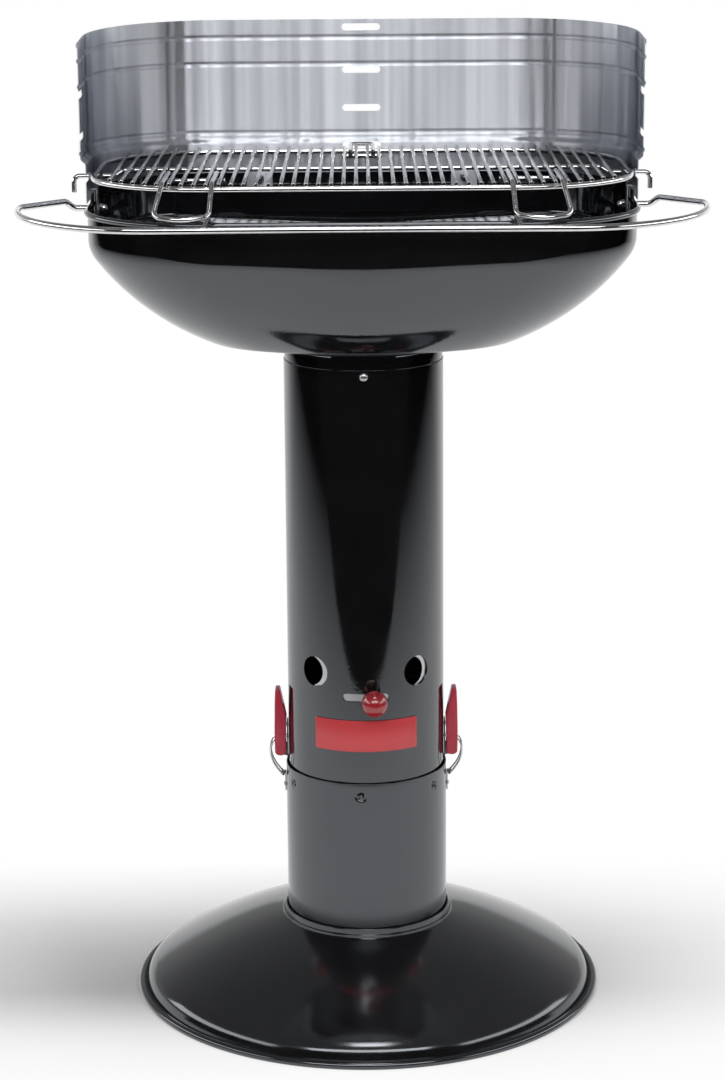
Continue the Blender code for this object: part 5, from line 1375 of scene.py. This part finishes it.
def chromeWire(name, body, node, path, bend=0.006, segments=6):
    # a support wire bent, named and set on its body
    settle(bendWire(name, path, supportWire, bend, segments), name, body, brightWire, "chrome", node)


def makeGrate(shape):
    pitch, count, over = shape["barPitch"], shape["barCount"], shape["barOver"]
    master = cutBar("grateBar", 2 * (grateY + over), barWire, shape["barSides"])
    bars = []
    for k in range(count):
        x = (k + 0.5 - count / 2) * pitch
        pull = edgeReach(grateX, grateY, grateCorner, x) + over - (grateY + over)
        bars.append(laidBar(master, Vector((0, 1, 0)), pull, (x, 0, barZ)))
    bpy.data.objects.remove(master)
    ring = wireFrom(drawRing("grateFrame", grateX, grateY, grateCorner, frameZ), frameWire, 3)
    grate = joined("cookingGrate", [ring] + bars)
    settle(grate, "cookingGrate", "grate", brightWire, "chrome", "cooking_grate")

    side, y = shape["sideWireX"], shape["sideWireY"]
    out = high("grate_center_wire").x - supportWire
    half = [(side, y, supportZ), (side + shape["sideWireOut"], y, hookZ), (out, y, hookZ),
            (out, y, low("grate_center_wire").z)]
    path = [(-x, y, z) for x, y, z in reversed(half)] + half
    chromeWire("grateCenterWire", "grate", "grate_center_wire", path)

    inner, outer = [place * pitch for place in shape["handleBars"]]
    over = shape["crossOver"]
    barY = -grateY + shape["crossIn"]
    legEnd, legEndZ = barY + shape["legOver"], supportZ + 2 * supportWire + gap
    lowest, dipZ = legZ - shape["handleDrop"], legZ - shape["handleDip"]
    near, far, farthest = [-grateY - out for out in shape["handleOut"]]
    wide = outer + shape["handleFlare"]
    # from the inner leg to the front, down, along the grip and back up to the outer leg
    route = [(inner, legEnd, legEndZ), (inner, -grateY, legZ), (inner, near, dipZ),
             (inner + shape["handleLean"], far, lowest),
             ((inner + wide) / 2, farthest, lowest - shape["handleSag"]),
             (wide, far, lowest), (outer, near, dipZ), (outer, -grateY, legZ), (outer, legEnd, legEndZ)]
    for side, word in ((-1, "left"), (1, "right")):
        ends = [(side * (inner - over), barY, supportZ), (side * (outer + over), barY, supportZ)]
        chromeWire("grateCrossBar" + word.capitalize(), "grate", "grate_cross_bar_" + word, ends)
        path = [(side * x, y, z) for x, y, z in route]
        chromeWire("grateHandle" + word.capitalize(), "grate", "grate_handle_" + word, path,
                   shape["handleBends"])

    reach = shape["tongueBars"] * pitch
    back = high("grate_tongue").y - supportWire
    start = back - shape["tongueLength"]
    path = [(-reach, start, legEndZ), (-reach, back, legZ), (reach, back, legZ), (reach, start, legEndZ)]
    chromeWire("grateTongue", "grate", "grate_tongue", path, shape["tongueBend"], 8)
    ends = [(sign * (reach + over), start + shape["tongueCross"], supportZ) for sign in (-1, 1)]
    chromeWire("grateCrossBarRear", "grate", "grate_cross_bar_rear", ends)


makeGrate(grateShape)
print("cooking grate made")


# Utensil rail and the hooks that carry its front

railShape = {
    "frontHalf": 0.2000, "sideY": -0.0300, "returnX": 0.0300, "returnY": 0.0280, "frontSteps": 26,
    "sideLength": 0.010, "sideIn": 0.0005, "endX": 0.022, "endBends": (0.0075, 0.007, 0.008, 0),
    "studGap": 0.0018, "studRadius": 0.0024, "studLength": 0.0100, "studShift": 0.0002,
    "hookX": 0.1480, "hookLean": 0.0040, "hookBack": 0.008, "hookRise": 0.001, "hookDrop": 0.015,
    "hookBend": 0.0040,
}


def makeRail(shape):
    railX = high("utensil_rail").x - railWire
    railY = -low("utensil_rail").y - railWire
    frontHalf, sideY, steps = shape["frontHalf"], shape["sideY"], shape["frontSteps"]
    studStart = wallX + shape["studGap"]
    half = []
    for k in range(steps + 1):
        turn = pi / 2 * k / steps
        half.append((frontHalf + (railX - frontHalf) * sin(turn), sideY - (railY + sideY) * cos(turn), rimZ))
    half += [(railX - shape["sideIn"], sideY + shape["sideLength"], rimZ),
             (wallX + shape["returnX"], shape["returnY"], rimZ),
             (wallX + shape["endX"], railEndY, railEndZ), (studStart, railEndY, railEndZ)]
    bends = [0.0] * (steps + 1) + list(shape["endBends"])
    path = [(-x, y, z) for x, y, z in reversed(half)] + half
    rail = bendWire("utensilRail", path, railWire, bends[::-1] + bends, 7, 5)
    studs = []
    for side in (-1, 1):
        radius, length = shape["studRadius"], shape["studLength"]
        stud = turnProfile("stud", [(0, 0), (radius, 0), (radius, length), (0, length)], 24, closed=False)
        place = (side * (studStart + shape["studShift"]), railEndY, railEndZ)
        studs.append(smooth(placed(stud, place, (-side, 0, 0)), 40))
    rail = joined("utensilRail", [rail] + studs)
    settle(rail, "utensilRail", "stand", brightWire, "chrome", "utensil_rail")

    inside = -(wallY - bowlSheet - gap - supportWire)
    over = rimZ + beadRadius + gap + supportWire
    x, top = shape["hookX"], over + shape["hookRise"]
    route = [(x + shape["hookLean"], -railY + railWire + gap, rimZ), (x, inside - shape["hookBack"], top),
             (x, inside, top), (x, inside, over - shape["hookDrop"])]
    for side, word in ((-1, "left"), (1, "right")):
        path = [(side * px, py, pz) for px, py, pz in route]
        chromeWire("railHook" + word.capitalize(), "stand", "rail_hook_" + word, path, shape["hookBend"], 5)


makeRail(railShape)
print("rail made")


# Small fasteners: dome-head screws, acorn nuts

fastenerShape = {
    "screwHead": (0.0044, 0.0032), "screwShank": (0.0022, 0.0090), "screwDrop": 0.0065,
    "boltHead": (0.0038, 0.0024), "boltShank": (0.0020, 0.0140), "boltDrop": 0.0055,
    "headRim": 0.22,                        # the straight share of a head's height
    "nutHalfWidth": 0.0042, "nutHeight": 0.0045, "domeHeight": 0.0050, "domeShare": 0.9,
    "domeSink": 0.0008, "domeRim": 0.0004, "nutEdge": 0.0004,
}


def domeScrew(name, head, shank, rim):
    # dome head above Z 0, shank below it
    radius, height = head
    profile = [(0, -shank[1]), (shank[0], -shank[1]), (shank[0], 0), (radius, 0), (radius, height * rim)]
    profile += domeLine(radius, height * rim, height, 8)
    return smooth(turnProfile(name, profile, 40, closed=False), 35)


def acornNut(name, shape):
    # hexagon on Z 0 with a dome on it
    half, height = shape["nutHalfWidth"], shape["nutHeight"]
    letGo()
    bpy.ops.mesh.primitive_cylinder_add(vertices=6, radius=half / cos(pi / 6), depth=height,
                                        location=(0, 0, height / 2))
    nut = bpy.context.object
    freeze()
    roundEdges(nut, shape["nutEdge"], 3, 40)
    radius, foot, rim = half * shape["domeShare"], height - shape["domeSink"], height + shape["domeRim"]
    profile = [(0, foot), (radius, foot), (radius, rim)]
    profile += domeLine(radius, rim, height + shape["domeHeight"], 9)
    dome = turnProfile("dome", profile, 32, closed=False)
    return smooth(joined(name, [nut, dome]), 35)


def makeFasteners(shape):
    screwZ, boltZ = columnTop - shape["screwDrop"], collarTop - shape["boltDrop"]
    screw = domeScrew("neckScrew", shape["screwHead"], shape["screwShank"], shape["headRim"])
    for k in range(3):
        out = radial(2 * pi * k / 3)
        piece = placed(copied(screw, "neckScrew"), out * (columnRadius + gap) + Vector((0, 0, screwZ)), out)
        settle(piece, "neckScrew" + str(k + 1), "stand", zincPlate, "zinc", "neck_screw_" + str(k + 1))
    bpy.data.objects.remove(screw)

    bolt = domeScrew("screenBolt", shape["boltHead"], shape["boltShank"], shape["headRim"])
    nut = acornNut("acornNut", shape)
    inner = wallY - bowlSheet - 2 * gap - screenShape["tabSheet"]
    outer = wallY + screenShape["offset"] + screenShape["sheet"] + gap
    face = wallX - bowlSheet - 2 * gap - screenShape["tabSheet"]
    for side, word in ((-1, "left"), (1, "right")):
        x = side * screenShape["tabX"]
        for made, name, node, place, direction, finish, slotName in (
                (bolt, "screenBolt", "screen_bolt_", (x, outer, boltZ), (0, 1, 0), zincPlate, "zinc"),
                (nut, "screenNut", "screen_nut_", (x, inner, boltZ), (0, -1, 0), brightWire, "chrome"),
                (nut, "railNut", "rail_nut_", (side * face, railEndY, railEndZ), (-side, 0, 0), brightWire,
                 "chrome")):
            piece = placed(copied(made, name), place, direction)
            settle(piece, name + word.capitalize(), "stand", finish, slotName, node + word)
    for made in (bolt, nut):
        bpy.data.objects.remove(made)


makeFasteners(fastenerShape)
print("fasteners made")


# Fire grate at the bottom of the bowl

fireShape = {"wire": 0.0025, "pitch": 0.0200, "margin": 0.0120, "barSides": 12}


def reachAt(points, y):
    # how far in X a ring's points reach at y
    above = min((p for p in points if p.x > 0 and p.y >= y), key=lambda p: p.y - y)
    below = min((p for p in points if p.x > 0 and p.y < y), key=lambda p: y - p.y)
    return below.x + (above.x - below.x) * (y - below.y) / (above.y - below.y)


def makeFireGrate(shape):
    # a bent ring that lies on the belly, with bars welded across it
    lowest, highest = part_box("fire_grate")
    wire = shape["wire"]
    halfX, halfY = highest.x - wire, highest.y - wire
    share = (highest.x - neckRadius) / (wallX - neckRadius)
    ring = drawRing("fireRing", halfX, halfY, wallCorner * halfY / wallY, lowest.z + wire, 24, 1 - share)
    points = pickedPoints()
    pieces = [wireFrom(ring, wire, 4)]
    master = cutBar("fireBar", 2 * halfX, wire, shape["barSides"], (0, pi / 2, 0))
    count = int(2 * (halfY - shape["margin"]) / shape["pitch"]) + 1
    for k in range(count):
        y = (k - (count - 1) / 2) * shape["pitch"]
        pull = reachAt(points, y) - halfX
        pieces.append(laidBar(master, Vector((1, 0, 0)), pull, (0, y, highest.z - wire)))
    bpy.data.objects.remove(master)
    settle(joined("fireGrate", pieces), "fireGrate", "fire_grate", darkWire, "grate_steel", "fire_grate")


makeFireGrate(fireShape)
print("fire grate made")

# The small nodes that stay as they are
for node in ("pot_bolt", "pot_nut", "damper_stem", "damper_nut", "neck_nut_1", "neck_nut_2", "neck_nut_3",
             "rail_washer_left", "rail_washer_right", "latch_rivet_left_1", "latch_rivet_left_2",
             "latch_rivet_right_1", "latch_rivet_right_2", "latch_pin_left", "latch_pin_right",
             "catch_rivet_left", "catch_rivet_right"):
    dressNode(node, zincPlate)
dressNode("pot_seal", sealRubber)
print("all dressed")

letGo()
